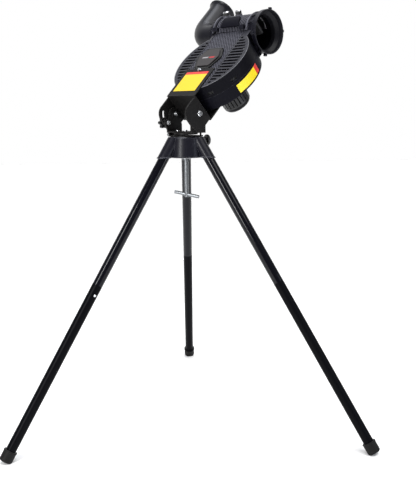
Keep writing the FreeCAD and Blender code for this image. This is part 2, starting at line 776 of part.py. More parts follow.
def rear_cover():
    outer = housing_plan(0, back_z, seam_z)
    inner = housing_plan(shell, back_z + shell, seam_z + 1)
    hollow = outer.cut(inner)
    bearing_boss = tube(20, shaft_radius + bearing_wall, 12, centre + V(0, 0, back_z + shell - 1))
    shaft_hole = cylinder(shaft_radius + bearing_wall, 20, centre + V(0, 0, back_z - 5))
    stand_offs = [cylinder(7.5, back_plate_gap + 1, V(x, back_screw_y,
                                                      back_z - back_plate_gap)) for x in back_screw_xs]
    holes = [cylinder(back_screw_radius + 0.1, 30, V(x, back_screw_y, back_z - 20)) for x in back_screw_xs]
    whole = fused([hollow, bearing_boss] + stand_offs)
    return whole.cut([shaft_hole] + barrel_room() + holes)


def screw_pocket(angle, z):
    x, y = polar(housing_radius - 1.5, angle)
    pocket = block(-3, 6, -10, 10, -5.5, 5.5)
    pocket.Placement = Placement(centre + V(x, y, z), Rotation(Z, angle))
    return pocket


def cover_screws():
    screws = []
    for angle in pocket_angles:
        dx, dy = polar(1.0, angle)
        base = centre + V(dx, dy, 0) * (housing_radius - shell) + V(0, 0, seam_z + 14)
        screws.append(cylinder(3.0, 1.2, base, V(dx, dy, 0)))
    return screws


def badge_outline(scale):
    """Six-sided shield, wider than tall."""
    w, h = badge_width / 2 * scale, badge_height / 2 * scale
    return [V(-0.62 * w, h, 0), V(0.62 * w, h, 0), V(w, 0.1 * h, 0), V(0.62 * w, -h, 0),
            V(-0.62 * w, -h, 0), V(-w, 0.1 * h, 0)]


def badge():
    low = prism(badge_outline(1.0), V(0, 0, badge_thick * 0.6))
    corners = [edge for edge in low.Edges if abs(edge.tangentAt(edge.FirstParameter).z) > 0.99]
    low = low.makeFillet(9, corners)
    high = prism(badge_outline(0.8), V(0, 0, badge_thick))
    corners = [edge for edge in high.Edges if abs(edge.tangentAt(edge.FirstParameter).z) > 0.99]
    high = high.makeFillet(9, corners)
    plate = fused([low, high])
    plate.translate(centre + V(badge_x, badge_y, face_z))
    return plate.cut([cylinder(badge_screw_radius - 0.6, badge_thick, V(x, y, face_z + 1)) for x,
                      y in badge_screw_places()])


def badge_screw_places():
    return [(housing_x + badge_x + x, housing_y + badge_y + y) for x in (-32.0, 32.0) for y in (-42.5, 42.5)]


def badge_screws():
    top = face_z + badge_thick * 0.6
    return [fused([cylinder(badge_screw_radius, 1.6, V(x, y, top)),
                   cylinder(badge_screw_radius - 0.8, 3, V(x, y, top - 2))])
            for x, y in badge_screw_places()]


def front_label():
    y0 = web_height + front_label_lift
    return block(-front_label_width / 2, front_label_width / 2, y0, y0 + front_label_height,
                 bracket_front, bracket_front + label_thick)


def side_label():
    """Thin curved plate on the side wall, near the back edge."""
    z0 = back_z + 6
    ring = tube(housing_radius + label_thick, housing_radius, side_label_width, centre + V(0, 0, z0))
    reach = housing_radius + 20
    a0, a1 = side_label_start, side_label_start + side_label_sweep
    wedge = prism([centre, centre + V(*polar(reach, a0), 0), centre + V(*polar(reach * 1.1, (a0 + a1) / 2),
                                                                        0),
                   centre + V(*polar(reach, a1), 0)], V(0, 0, side_label_width))
    wedge.translate(V(0, 0, z0))
    return ring.common(wedge)


# ================================================================ wheel and motor (head frame)
wheel_low = seam_z - wheel_width / 2
motor_back = back_z - motor_length


def wheel_tyre():
    inner = wheel_radius - tyre_thick
    crown = 6.0
    profile = [(inner, 0), (wheel_radius - 4, 0), (wheel_radius, 5),
               (wheel_radius - crown / 4, wheel_width / 2),
               (wheel_radius, wheel_width - 5), (wheel_radius - 4, wheel_width), (inner, wheel_width)]
    return spun(profile, centre + V(0, 0, wheel_low))


def wheel_rim():
    outer = wheel_radius - tyre_thick
    middle = wheel_width / 2
    profile = [(shaft_radius, middle - 16), (shaft_radius + 14, middle - 16),
               (shaft_radius + 14, middle - wheel_web / 2),
               (outer - rim_wall, middle - wheel_web / 2), (outer - rim_wall, 0), (outer, 0), (outer,
                                                                                               wheel_width),
               (outer - rim_wall, wheel_width), (outer - rim_wall, middle + wheel_web / 2),
               (shaft_radius + 14, middle + wheel_web / 2), (shaft_radius + 14, middle + 16), (shaft_radius,
                                                                                               middle + 16)]
    rim = spun(profile, centre + V(0, 0, wheel_low))
    windows = []
    for i in range(6):
        x, y = polar(window_ring, 60 * i)
        windows.append(cylinder(window_radius, wheel_width, centre + V(x, y, wheel_low)))
    return rim.cut(windows)


def wheel_shaft():
    low = motor_back + 9
    return cylinder(shaft_radius, seam_z + 28 - low, centre + V(0, 0, low))


def motor_rotor():
    return tube(rotor_radius, shaft_radius, motor_length - 40, centre + V(0, 0, motor_back + 20))


def wheel_nut():
    low = seam_z + 16
    nut = hexagon(24, 9, centre + V(0, 0, low))
    return nut.cut(cylinder(shaft_radius, 12, centre + V(0, 0, low - 1)))


def motor_can():
    low = motor_back + motor_end_cap
    outer = cylinder(motor_radius, motor_length - motor_end_cap, centre + V(0, 0, low))
    inner = cylinder(motor_radius - motor_wall, motor_length - motor_end_cap - 4, centre + V(0, 0, low))
    shaft_hole = cylinder(shaft_radius + bearing_wall, 20, centre + V(0, 0, back_z - 8))
    grooves = []
    for i in range(motor_groove_count):
        x, y = polar(motor_radius + 0.4, 360 / motor_groove_count * i)
        grooves.append(cylinder(motor_groove, motor_length - motor_end_cap - 14, centre + V(x, y, low + 6)))
    return outer.cut([inner, shaft_hole] + grooves)


def motor_cap():
    radius = motor_radius - 0.8
    profile = [(0, 0), (radius - 12, 0), (radius - 4, 3), (radius, 10), (radius, motor_end_cap),
               (radius - motor_wall, motor_end_cap), (radius - motor_wall - 2, 8), (0, 6)]
    return spun(profile, centre + V(0, 0, motor_back))


def motor_bearing(z):
    return tube(shaft_radius + bearing_wall - 0.1, shaft_radius + run_gap, 8, centre + V(0, 0, z))


# ================================================================ barrel (head frame)
knob_axis = V(0, *polar(1.0, knob_lean))
pad_low = housing_y + wheel_radius + pinch


def arc_sector(radius, x0, x1, a0, a1):
    """Solid sector about the barrel axis; angles run from +Y towards +Z."""
    face = Part.Face(Part.makePolygon([V(x0, 0, 0), V(x1, 0, 0), V(x1, radius, 0), V(x0, radius, 0),
                                       V(x0, 0, 0)]))
    sector = face.revolve(ORIGIN, X, a1 - a0)
    sector.rotate(ORIGIN, X, a0)
    sector.translate(V(0, barrel_y, barrel_z))
    return sector


def arc_shell(outer, inner, x0, x1, a0, a1):
    return arc_sector(outer, x0, x1, a0, a1).cut(cylinder(inner, x1 - x0 + 2, V(x0 - 1, barrel_y, barrel_z),
                                                          X))


def barrel_cover():
    shell_part = arc_shell(barrel_radius, barrel_radius - barrel_wall, barrel_back, barrel_front,
                           -barrel_half_angle, barrel_half_angle)
    ribs = []
    count = int((barrel_front - barrel_back - 20) / rib_pitch)
    start = (barrel_front + barrel_back) / 2 - (count - 1) * rib_pitch / 2
    for i in range(count):
        x = start + i * rib_pitch
        ribs.append(arc_shell(barrel_radius + rib_height, barrel_radius - 1, x - rib_width / 2,
                              x + rib_width / 2,
                              -barrel_half_angle, barrel_half_angle))
    flanges = [arc_shell(flange_radius, barrel_radius - barrel_wall, x, x + flange_thick,
                         -barrel_half_angle, barrel_half_angle)
               for x in (barrel_back, barrel_front - flange_thick)]
    studs = [cylinder(stud_radius + body_gap, 16, knob_base(x, barrel_radius - 8),
                      knob_axis) for x in knob_xs]
    return fused([shell_part] + ribs + flanges).cut(studs)


def knob_base(x, radius):
    return V(x, barrel_y, barrel_z) + knob_axis * radius


def pad_cover():
    """Raised trapezoid cover over the front of the barrel."""
    outer = barrel_radius + cover_rise
    inner = barrel_radius + rib_height + 0.1
    patch = arc_shell(outer, inner, *cover_low_x, cover_high, cover_low)
    low_y, high_y = (barrel_y + outer * math.cos(math.radians(angle)) for angle in (cover_low, cover_high))
    trims = []
    for low_x, high_x, side in zip(cover_low_x, cover_high_x, (-1, 1)):
        far = low_x + side * 40
        trims.append(prism([V(low_x, low_y, 0), V(far, low_y, 0), V(far, high_y + 30, 0),
                            V(high_x, high_y + 30, 0),
                            V(high_x, high_y, 0)], V(0, 0, 200)))
    return patch.cut(trims)


def cover_feet():
    """Two saddles under the thumb knobs."""
    saddles = []
    for x in knob_xs:
        saddle = cylinder(12, 6, knob_base(x, barrel_radius + rib_height - 1.5), knob_axis)
        saddles.append(saddle.cut([cylinder(stud_radius + body_gap, 20, knob_base(x, barrel_radius - 4),
                                            knob_axis),
                                   along_barrel(barrel_radius - 1)]))
    return saddles


def thumb_knob(x):
    low = barrel_radius + rib_height + 5.0
    profile = [(0, 0), (knob_radius - 1, 0), (knob_radius, 1), (knob_radius, knob_height - 3),
               (knob_radius - 2, knob_height), (0, knob_height)]
    knob = spun(profile, knob_base(x, low), knob_axis)
    notches = []
    for i in range(12):
        a, b = polar(knob_radius + 0.8, 30 * i)
        notches.append(cylinder(1.5, knob_height + 2, V(a, b, -1)))
    notch_shape = Part.makeCompound(notches)
    notch_shape.Placement = Placement(knob_base(x, low), Rotation(Z, knob_axis))
    stud = cylinder(stud_radius, low - barrel_radius + barrel_wall + 2,
                    knob_base(x, barrel_radius - barrel_wall - 1), knob_axis)
    return fused([knob.cut(notch_shape), stud])


def pressure_pad():
    """Block over the ball's path; its underside rises at both ends."""
    points = [V(pad_back, pad_low + 9, 0), V(pad_back + 26, pad_low, 0), V(pad_front - 16, pad_low, 0),
              V(pad_front, pad_low + 5, 0), V(pad_front, pad_low + pad_thick, 0), V(pad_back,
                                                                                    pad_low + pad_thick, 0)]
    pad = prism(points, V(0, 0, pad_width))
    pad.translate(V(0, 0, barrel_z - pad_width / 2))
    seat = cylinder(barrel_radius - barrel_wall - 3.2, 200, V(-100, barrel_y, barrel_z), X)
    return pad.common(seat)


def pad_carrier():
    """Steel saddle between the pad and the barrel's crown."""
    inner_radius = barrel_radius - barrel_wall
    return arc_shell(inner_radius, inner_radius - 3, pad_back, pad_front, -26, 26)


def corner_clips():
    clips = []
    for side in (-1, 1):
        for x in (barrel_back + flange_thick + 0.2, barrel_front - flange_thick - clip_length - 8.0):
            angle = side * (barrel_half_angle - 9)
            lug = block(x, x + clip_length, -7, 7, 0, 12)
            direction = V(0, *polar(1.0, angle))
            lug.Placement = Placement(V(0, barrel_y, barrel_z) + direction * (barrel_radius + rib_height - 2),
                                      Rotation(X, angle - 90))
            clips.append(lug.cut(along_barrel(barrel_radius + rib_height + 0.05)))
    return Part.makeCompound(clips)


def muzzle_ring():
    """Round shroud ahead of the barrel, with crossed gussets back to the barrel's flange."""
    wall = muzzle_wall
    start = muzzle_front - muzzle_lip
    profile = [(barrel_radius - wall, barrel_front + 0.1), (barrel_radius, barrel_front + 0.1),
               (barrel_radius, muzzle_back),
               (muzzle_radius, start), (muzzle_radius, muzzle_front), (muzzle_radius - wall, muzzle_front),
               (muzzle_radius - wall, start), (barrel_radius - wall, muzzle_back)]
    shroud = spun(profile, V(0, barrel_y, barrel_z), X)
    inside = spun([(0, barrel_front), (barrel_radius - wall, barrel_front),
                   (barrel_radius - wall, muzzle_back),
                   (muzzle_radius - wall, start), (muzzle_radius - wall, muzzle_front), (0, muzzle_front)],
                  V(0, barrel_y, barrel_z), X)
    bead = Part.makeTorus(muzzle_radius - muzzle_wall / 2, muzzle_bead,
                          V(muzzle_front - 1, barrel_y, barrel_z), X)
    parts = [shroud, bead]
    span = start - barrel_front
    for i in range(9):
        angle = -108 + 27 * i
        for lean in (-1, 1):
            bar = block(-0.5, math.hypot(span, 14) + 0.5, -1.2, 1.2, -3.5, 3.5)
            bar.Placement = Placement(V(barrel_front, -7 * lean, barrel_radius + 2.5),
                                      Rotation(Z, lean * math.degrees(math.atan2(14, span))))
            bar.rotate(ORIGIN, X, -angle)
            bar.Placement = Placement(V(0, barrel_y, barrel_z), Rotation(X, -90)).multiply(bar.Placement)
            parts.append(bar.common(block(barrel_front + 0.1, start + 1, barrel_y - 100, barrel_y + 100,
                                          -200, 200)))
    for angle in (38.0, 142.0, 218.0, 322.0):
        lug = block(muzzle_front - 12, muzzle_front - 3, -4, 4, muzzle_radius - 2, muzzle_radius + muzzle_lug)
        lug.Placement = Placement(V(0, barrel_y, barrel_z), Rotation(X, angle - 90))
        parts.append(lug)
    return fused(parts).cut(inside)


def feed_collar():
    radius = elbow_radius + run_gap
    sleeve = tube(radius + collar_wall, radius, collar_length,
                  V(barrel_back - collar_length, barrel_y, barrel_z), X)
    plate = tube(flange_radius - 1, radius, 4, V(barrel_back - 4, barrel_y, barrel_z), X)
    ribs = []
    for i in range(12):
        rib = block(barrel_back - 14, barrel_back - 3, -2.5, 2.5, radius + collar_wall - 1, flange_radius - 3)
        rib.Placement = Placement(V(0, barrel_y, barrel_z), Rotation(X, 30 * i))
        ribs.append(rib)
    return fused([sleeve, plate] + ribs)


def feed_elbow():
    """Swept tube: from the barrel back, round a bend and up to a flared mouth."""
    def path_solid(radius, start, end):
        bend_x = elbow_corner
        run = cylinder(radius, start - (bend_x + elbow_bend), V(bend_x + elbow_bend, barrel_y, barrel_z), X)
        circle = Part.Wire(Part.makeCircle(radius, V(bend_x + elbow_bend, barrel_y, barrel_z), X))
        bend = Part.Face(circle).revolve(V(bend_x + elbow_bend, barrel_y + elbow_bend, barrel_z), Z, -90)
        rise = cylinder(radius, end - elbow_bend, V(bend_x, barrel_y + elbow_bend, barrel_z), Y)
        return fused([run, bend, rise])
    start = barrel_back - 0.5
    outer = path_solid(elbow_radius, start, mouth_rise - mouth_flare)
    inner = path_solid(elbow_radius - elbow_wall, start, mouth_rise - mouth_flare)
    flare_base = barrel_y + mouth_rise - mouth_flare
    wall = elbow_wall
    profile = [(elbow_radius - wall, 0), (elbow_radius, 0), (elbow_radius + 2.2, mouth_flare * 0.5),
               (mouth_radius - 1.5, mouth_flare - 4), (mouth_radius, mouth_flare - 3), (mouth_radius,
                                                                                        mouth_flare),
               (mouth_radius - wall, mouth_flare), (elbow_radius + 2.2 - wall, mouth_flare * 0.5)]
    flare = spun(profile, V(elbow_corner, flare_base, barrel_z), Y)
    stop = tube(elbow_radius + collar_wall + 2, elbow_radius - 1, 6,
                V(barrel_back - collar_length - 6 - body_gap, barrel_y, barrel_z), X)
    return fused([outer.cut(inner), flare, stop])


# ================================================================ rear controls (head frame)
box_low = back_z - box_depth
switch_x = box_x - 12
switch_y = box_y + 16
dial_x = box_x + 12
dial_y = box_y + 16
inlet_x = box_x
inlet_y = box_y - 18


def control_box():
    outer = block_about(box_x, box_y, box_width, box_height, box_low, back_z)
    inner = block_about(box_x, box_y, box_width - 2 * box_wall, box_height - 2 * box_wall,
                        box_low + box_wall, back_z - 2)
    through = (box_low - 1, box_low + box_wall + 1)
    switch_hole = block_about(switch_x, switch_y, switch_width, switch_height, *through)
    dial_hole = cylinder(dial_stem_radius + run_gap, box_wall + 4, V(dial_x, dial_y, box_low - 2))
    inlet_hole = block_about(inlet_x, inlet_y, inlet_width, inlet_height, *through)
    return outer.cut([inner, switch_hole, dial_hole, inlet_hole])


def rocker_switch():
    """Rocker: a wedge that tips about a cross axis inside the box."""
    half_w = switch_width / 2 - 2.2
    half_h = switch_height / 2 - 2.6
    points = [V(0, -half_h, 0), V(0, half_h, 0), V(0, half_h, 6), V(0, 0, 4.6), V(0, -half_h, 3.0)]
    rocker = prism(points, V(2 * half_w, 0, 0))
    pivot_z = box_low + box_wall - 1
    rocker.translate(V(switch_x - half_w, switch_y, pivot_z))
    return rocker.mirror(V(0, 0, pivot_z), Z)


def switch_frame():
    outer = block_about(switch_x, switch_y, switch_width + 3, switch_height + 3, box_low - 1.5, box_low)
    well = block_about(switch_x, switch_y, switch_width - 0.2, switch_height - 0.2,
                       box_low - 1, box_low + box_wall + 8)
    hollow = block_about(switch_x, switch_y, switch_width - 3.4, switch_height - 3.4,
                         box_low - 3, box_low + box_wall + 6)
    return fused([outer, well]).cut(hollow)


def speed_dial():
    profile = [(0, 0), (dial_radius, 0), (dial_radius - 1.5, -dial_height), (0, -dial_height)]
    knob = spun(profile, V(dial_x, dial_y, box_low - 0.6))
    grips = []
    for i in range(14):
        x, y = polar(dial_radius + 0.6, 360 / 14 * i)
        grips.append(cylinder(1.4, dial_height + 2, V(dial_x + x, dial_y + y, box_low - dial_height - 1.6)))
    pointer = block(dial_x - 0.8, dial_x + 0.8, dial_y + 1, dial_y + dial_radius - 3,
                    box_low - dial_height - 1.6, box_low - dial_height)
    stem = cylinder(dial_stem_radius, 12, V(dial_x, dial_y, box_low - 1))
    return fused([knob.cut(grips + [pointer]), stem])


def power_inlet():
    frame = block_about(inlet_x, inlet_y, inlet_width - 0.2, inlet_height - 0.2, box_low - 1.5, box_low + 20)
    lip = block_about(inlet_x, inlet_y, inlet_width + 4, inlet_height + 4, box_low - 1.5, box_low)
    well = block_about(inlet_x, inlet_y, inlet_width - 5, inlet_height - 5, box_low - 3, box_low + 16)
    pins = [block_about(inlet_x + dx, inlet_y + dy, 2, 5, box_low + 10, box_low + 17)
            for dx, dy in ((-6, -1.5), (0, 2.5), (6, -1.5))]
    return fused([fused([frame, lip]).cut(well)] + pins)


# ================================================================ frames and export
sole_cut = block(-2000, 2000, -2000, 2000, -60, 0)
caps = {}
for name, azimuth in leg_azimuths.items():
    cap = foot_cap()
    cap.Placement = leg_frame(azimuth)
    caps[name] = cap.cut(sole_cut)
stance = Part.makeCompound(list(caps.values())).optimalBoundingBox(False, False)
stance_shift = -(stance.YMin + stance.YMax) / 2

world_frame = Placement(V(0, stance_shift, 0), Rotation())
pan_frame = world_frame.multiply(Placement(ORIGIN, Rotation(Z, pan_angle)))
yoke_frame = pan_frame.multiply(Placement(V(yoke_offset, 0, pivot_height), Rotation()))
head_frame = yoke_frame.multiply(Placement(ORIGIN, Rotation(X, roll_angle)))


def save(name, shape, frame=world_frame):
    placed = shape.copy()
    placed.Placement = frame.multiply(placed.Placement)
    placed.exportStep("parts/" + name + ".step")


save("tripod_hub", tripod_hub())
screws = []
for name, azimuth in leg_azimuths.items():
    frame = world_frame.multiply(leg_frame(azimuth))
    save("leg_upper_" + name, leg_upper(screw_sides[name]), frame)
    save("leg_lower_" + name, leg_lower(), frame)
    save("snap_button_" + name, snap_button(), frame)
    save("foot_cap_" + name, caps[name])
    screw = socket_screw(screw_sides[name])
    screw.Placement = leg_frame(azimuth)
    screws.append(screw)
save("socket_screws", Part.makeCompound(screws))
save("clamp_washer", clamp_washer())
save("clamp_rod", clamp_rod())
save("clamp_bar", clamp_bar_solid(clamp_bar_radius, clamp_bar_length))
save("pan_knob", pan_knob())
save("pan_screw", pan_screw())

save("swivel_base", swivel_base(), pan_frame)
save("elevation_plate", elevation_plate(), pan_frame)
save("elevation_pin", elevation_pin(), pan_frame)
save("elevation_stop", elevation_stop(), pan_frame)

save("yoke", yoke(), yoke_frame)
save("yoke_bolts", yoke_plate_bolts(), yoke_frame)
save("pivot_bolts", Part.makeCompound([pivot_bolt(side) for side in (-1, 1)]), yoke_frame)
save("yoke_nuts", Part.makeCompound([pivot_nut(-1), pivot_nut(1), lock_nut()]), yoke_frame)
save("roll_lock_bolt", lock_bolt(), yoke_frame)
save("roll_lock_knob", star_knob(), yoke_frame)

save("head_bracket", bracket(), head_frame)
save("bracket_screws", bracket_screws(), head_frame)
save("front_label", front_label(), head_frame)
save("front_cover", front_cover(), head_frame)
save("rear_cover", rear_cover(), head_frame)
save("badge", badge(), head_frame)
save("housing_screws", Part.makeCompound(badge_screws() + cover_screws()), head_frame)
save("side_label", side_label(), head_frame)
save("wheel_tyre", wheel_tyre(), head_frame)
save("wheel_rim", wheel_rim(), head_frame)
save("wheel_shaft", wheel_shaft(), head_frame)
save("motor_rotor", motor_rotor(), head_frame)
save("wheel_nut", wheel_nut(), head_frame)
save("motor_can", motor_can(), head_frame)
save("motor_cap", motor_cap(), head_frame)
save("shaft_bearings", Part.makeCompound([motor_bearing(back_z + shell), motor_bearing(motor_back + 7)]),
     head_frame)
save("barrel_cover", fused([barrel_cover()] + cover_feet()), head_frame)
save("pad_cover", pad_cover(), head_frame)
save("pressure_pad", pressure_pad(), head_frame)
save("pad_carrier", pad_carrier(), head_frame)
save("corner_clips", corner_clips(), head_frame)
save("thumb_knob_rear", thumb_knob(knob_xs[0]), head_frame)
save("thumb_knob_front", thumb_knob(knob_xs[1]), head_frame)
save("muzzle_ring", muzzle_ring(), head_frame)
save("feed_collar", feed_collar(), head_frame)
save("feed_elbow", feed_elbow(), head_frame)
save("control_box", control_box(), head_frame)
save("switch_frame", switch_frame(), head_frame)
save("rocker_switch", rocker_switch(), head_frame)
save("speed_dial", speed_dial(), head_frame)
save("power_inlet", power_inlet(), head_frame)
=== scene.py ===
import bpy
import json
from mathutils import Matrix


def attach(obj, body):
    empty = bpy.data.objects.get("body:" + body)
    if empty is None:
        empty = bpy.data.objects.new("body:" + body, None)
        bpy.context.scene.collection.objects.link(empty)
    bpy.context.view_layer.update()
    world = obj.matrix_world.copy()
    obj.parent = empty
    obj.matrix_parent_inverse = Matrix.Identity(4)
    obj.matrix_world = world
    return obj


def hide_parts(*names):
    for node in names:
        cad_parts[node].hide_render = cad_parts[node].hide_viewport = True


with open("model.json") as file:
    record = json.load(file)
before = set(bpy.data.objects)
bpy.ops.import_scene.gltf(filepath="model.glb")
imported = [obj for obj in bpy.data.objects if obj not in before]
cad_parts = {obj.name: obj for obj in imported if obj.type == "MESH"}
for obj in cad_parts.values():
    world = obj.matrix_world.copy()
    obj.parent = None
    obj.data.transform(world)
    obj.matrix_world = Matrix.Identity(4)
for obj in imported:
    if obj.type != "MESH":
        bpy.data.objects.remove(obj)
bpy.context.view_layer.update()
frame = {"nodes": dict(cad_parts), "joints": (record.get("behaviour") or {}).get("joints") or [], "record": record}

import json
import math

import bmesh
import bpy
from mathutils import Matrix, Vector

# A baseball pitching machine on a tripod.  Lengths are metres, angles degrees unless named otherwise.
MM = 0.001
Z = Vector((0, 0, 1))

scene = bpy.context.scene
nodes = frame["nodes"]
joints = {joint["name"]: joint for joint in frame["joints"]}


def joint_place(name):
    return Vector(joints[name]["pos_m"])


def joint_axis(name):
    return Vector(joints[name]["axis"]).normalized()


def frame_matrix(origin, x_axis, y_axis, z_axis):
    turn = Matrix((x_axis, y_axis, z_axis)).transposed().to_4x4()
    return Matrix.Translation(origin) @ turn


# Head frame: X along the throw, Y from the yoke up to the barrel, Z out of the front face.
THROW = joint_axis("roll")
FACE = joint_axis("wheel_spin")
HEAD = frame_matrix(joint_place("roll"), THROW, FACE.cross(THROW), FACE)
TRIPOD_AXIS = Vector((joint_place("pan").x, joint_place("pan").y, 0))


def local_box(name, matrix):
    """Lowest and highest corners of a CAD node along the axes of a frame."""
    inverse = matrix.inverted()
    points = [inverse @ vertex.co for vertex in nodes[name].data.vertices]
    low = Vector([min(p[i] for p in points) for i in range(3)])
    high = Vector([max(p[i] for p in points) for i in range(3)])
    return low, high


# ------------------------------------------------------------------ camera
CAMERA_BACK = 2.389
CAMERA_HEIGHT = 1.0293
CAMERA_TILT = 10.768
CAMERA_PAN = 1.594
CAMERA_ROLL = -0.637
LENS = 53.48
SENSOR = 36.0


def add_camera():
    data = bpy.data.cameras.new("camera")
    data.sensor_fit = "AUTO"
    data.sensor_width = SENSOR
    data.lens = LENS
    data.clip_end = 60.0
    camera = bpy.data.objects.new("camera", data)
    scene.collection.objects.link(camera)
    tilt, pan, roll = (math.radians(a) for a in (CAMERA_TILT, CAMERA_PAN, CAMERA_ROLL))
    ahead = Vector((math.sin(pan) * math.cos(tilt), math.cos(pan) * math.cos(tilt), -math.sin(tilt)))
    right = Vector((math.cos(pan), -math.sin(pan), 0))
    up = right.cross(ahead)
    level_right = right * math.cos(roll) + up * math.sin(roll)
    level_up = up * math.cos(roll) - right * math.sin(roll)
    camera.matrix_world = frame_matrix(TRIPOD_AXIS + Vector((0, -CAMERA_BACK, CAMERA_HEIGHT)),
                                       level_right, level_up, -ahead)
    scene.camera = camera


# ------------------------------------------------------------------ stage and light
def add_stage():
    bm = bmesh.new()
    bmesh.ops.create_grid(bm, x_segments=1, y_segments=1, size=12.0)
    mesh = bpy.data.meshes.new("floor")
    bm.to_mesh(mesh)
    bm.free()
    floor = bpy.data.objects.new("floor", mesh)
    scene.collection.objects.link(floor)
    material = bpy.data.materials.new("floor_paper")
    material.use_nodes = True
    shader = material.node_tree.nodes["Principled BSDF"]
    shader.inputs["Base Color"].default_value = (0.93, 0.93, 0.93, 1)
    shader.inputs["Roughness"].default_value = 0.9
    mesh.materials.append(material)


def area_light(name, place, target, width, height, power, color=(1, 1, 1)):
    data = bpy.data.lights.new(name, "AREA")
    data.shape = "RECTANGLE"
    data.size = width
    data.size_y = height
    data.energy = power
    data.color = color
    light = bpy.data.objects.new(name, data)
    scene.collection.objects.link(light)
    aim = (Vector(target) - place).to_track_quat("-Z", "Y").to_matrix().to_4x4()
    light.matrix_world = Matrix.Translation(place) @ aim


def around(middle, azimuth, distance, rise):
    """A place at a distance from the middle; azimuth 0 is in front, positive to the right."""
    turn = math.radians(azimuth)
    return middle + Vector((math.sin(turn), -math.cos(turn), 0)) * distance + Z * rise


def add_world():
    """White behind the object, grey above it and behind the camera."""
    world = bpy.data.worlds.new("studio")
    world.use_nodes = True
    tree = world.node_tree
    place = tree.nodes.new("ShaderNodeTexCoord")
    split = tree.nodes.new("ShaderNodeSeparateXYZ")
    tree.links.new(place.outputs["Generated"], split.inputs[0])
    fade = mapped(tree, split.outputs["Y"], 0.1, 0.75, 0.06, 1.0, interpolation="SMOOTHSTEP")
    background = tree.nodes["Background"]
    background.inputs["Color"].default_value = (1, 1, 1, 1)
    tree.links.new(fade, background.inputs["Strength"])
    scene.world = world


def add_lights():
    middle = TRIPOD_AXIS + Z * 0.75
    area_light("strip_left", around(middle, azimuth=-38, distance=3.0, rise=0.9), middle,
               width=0.5, height=2.2, power=85)
    area_light("strip_right", around(middle, azimuth=62, distance=3.0, rise=0.3), middle,
               width=0.3, height=2.4, power=16, color=(0.8, 0.86, 1.0))
    area_light("overhead", middle + Vector((-0.3, 0.3, 2.3)), middle,
               width=1.6, height=0.8, power=30, color=(0.9, 0.93, 1.0))
    sun = bpy.data.lights.new("even", "SUN")
    sun.energy = 2.9
    sun.angle = math.radians(60)
    light = bpy.data.objects.new("even", sun)
    scene.collection.objects.link(light)
    light.matrix_world = Vector((0.25, -0.35, 1)).to_track_quat("Z", "Y").to_matrix().to_4x4()


# ------------------------------------------------------------------ material tools
def new_group(name, inputs, outputs):
    group = bpy.data.node_groups.new(name, "ShaderNodeTree")
    for label, kind, value in inputs:
        socket = group.interface.new_socket(name=label, in_out="INPUT", socket_type=kind)
        if value is not None:
            socket.default_value = value
    for label, kind in outputs:
        group.interface.new_socket(name=label, in_out="OUTPUT", socket_type=kind)
    entry = group.nodes.new("NodeGroupInput")
    leave = group.nodes.new("NodeGroupOutput")
    return group, entry, leave


def add_node(tree, kind, settings=None, **values):
    node = tree.nodes.new(kind)
    for key, value in (settings or {}).items():
        setattr(node, key, value)
    for key, value in values.items():
        node.inputs[key.replace("_", " ")].default_value = value
    return node


def mapped(tree, value, low, high, to_low=0.0, to_high=1.0, interpolation="LINEAR"):
    """The value carried from one range to another and kept inside it."""
    node = add_node(tree, "ShaderNodeMapRange", {"clamp": True, "interpolation_type": interpolation})
    for key, limit in (("From Min", low), ("From Max", high), ("To Min", to_low), ("To Max", to_high)):
        node.inputs[key].default_value = limit
    tree.links.new(value, node.inputs["Value"])
    return node.outputs[0]


def mottled_group():
    """Slow colour drift and fine grain for one surface: colour, roughness and height."""
    group, entry, leave = new_group(
        "mottled", [("Color", "NodeSocketColor", (0.1, 0.1, 0.1, 1)), ("Drift", "NodeSocketFloat", 0.2),
                    ("Roughness", "NodeSocketFloat", 0.4), ("Roughness Drift", "NodeSocketFloat", 0.1),
                    ("Grain Scale", "NodeSocketFloat", 900.0), ("Drift Scale", "NodeSocketFloat", 14.0)],
        [("Color", "NodeSocketColor"), ("Roughness", "NodeSocketFloat"), ("Height", "NodeSocketFloat")])
    link = group.links.new
    place = group.nodes.new("ShaderNodeTexCoord")
    slow = add_node(group, "ShaderNodeTexNoise", Detail=4.0, Roughness=0.6)
    fine = add_node(group, "ShaderNodeTexNoise", Detail=3.0, Roughness=0.55)
    link(place.outputs["Object"], slow.inputs["Vector"])
    link(place.outputs["Object"], fine.inputs["Vector"])
    link(entry.outputs["Drift Scale"], slow.inputs["Scale"])
    link(entry.outputs["Grain Scale"], fine.inputs["Scale"])
    centred = add_node(group, "ShaderNodeMath", {"operation": "SUBTRACT"})
    centred.inputs[1].default_value = 0.5
    link(slow.outputs["Fac"], centred.inputs[0])
    lift = add_node(group, "ShaderNodeMath", {"operation": "MULTIPLY_ADD"})
    link(centred.outputs[0], lift.inputs[0])
    link(entry.outputs["Drift"], lift.inputs[1])
    lift.inputs[2].default_value = 1.0
    scaled = add_node(group, "ShaderNodeVectorMath", {"operation": "SCALE"})
    link(entry.outputs["Color"], scaled.inputs[0])
    link(lift.outputs[0], scaled.inputs["Scale"])
    rough = add_node(group, "ShaderNodeMath", {"operation": "MULTIPLY_ADD", "use_clamp": True})
    link(centred.outputs[0], rough.inputs[0])
    link(entry.outputs["Roughness Drift"], rough.inputs[1])
    link(entry.outputs["Roughness"], rough.inputs[2])
    link(scaled.outputs[0], leave.inputs["Color"])
    link(rough.outputs[0], leave.inputs["Roughness"])
    link(fine.outputs["Fac"], leave.inputs["Height"])
    return group


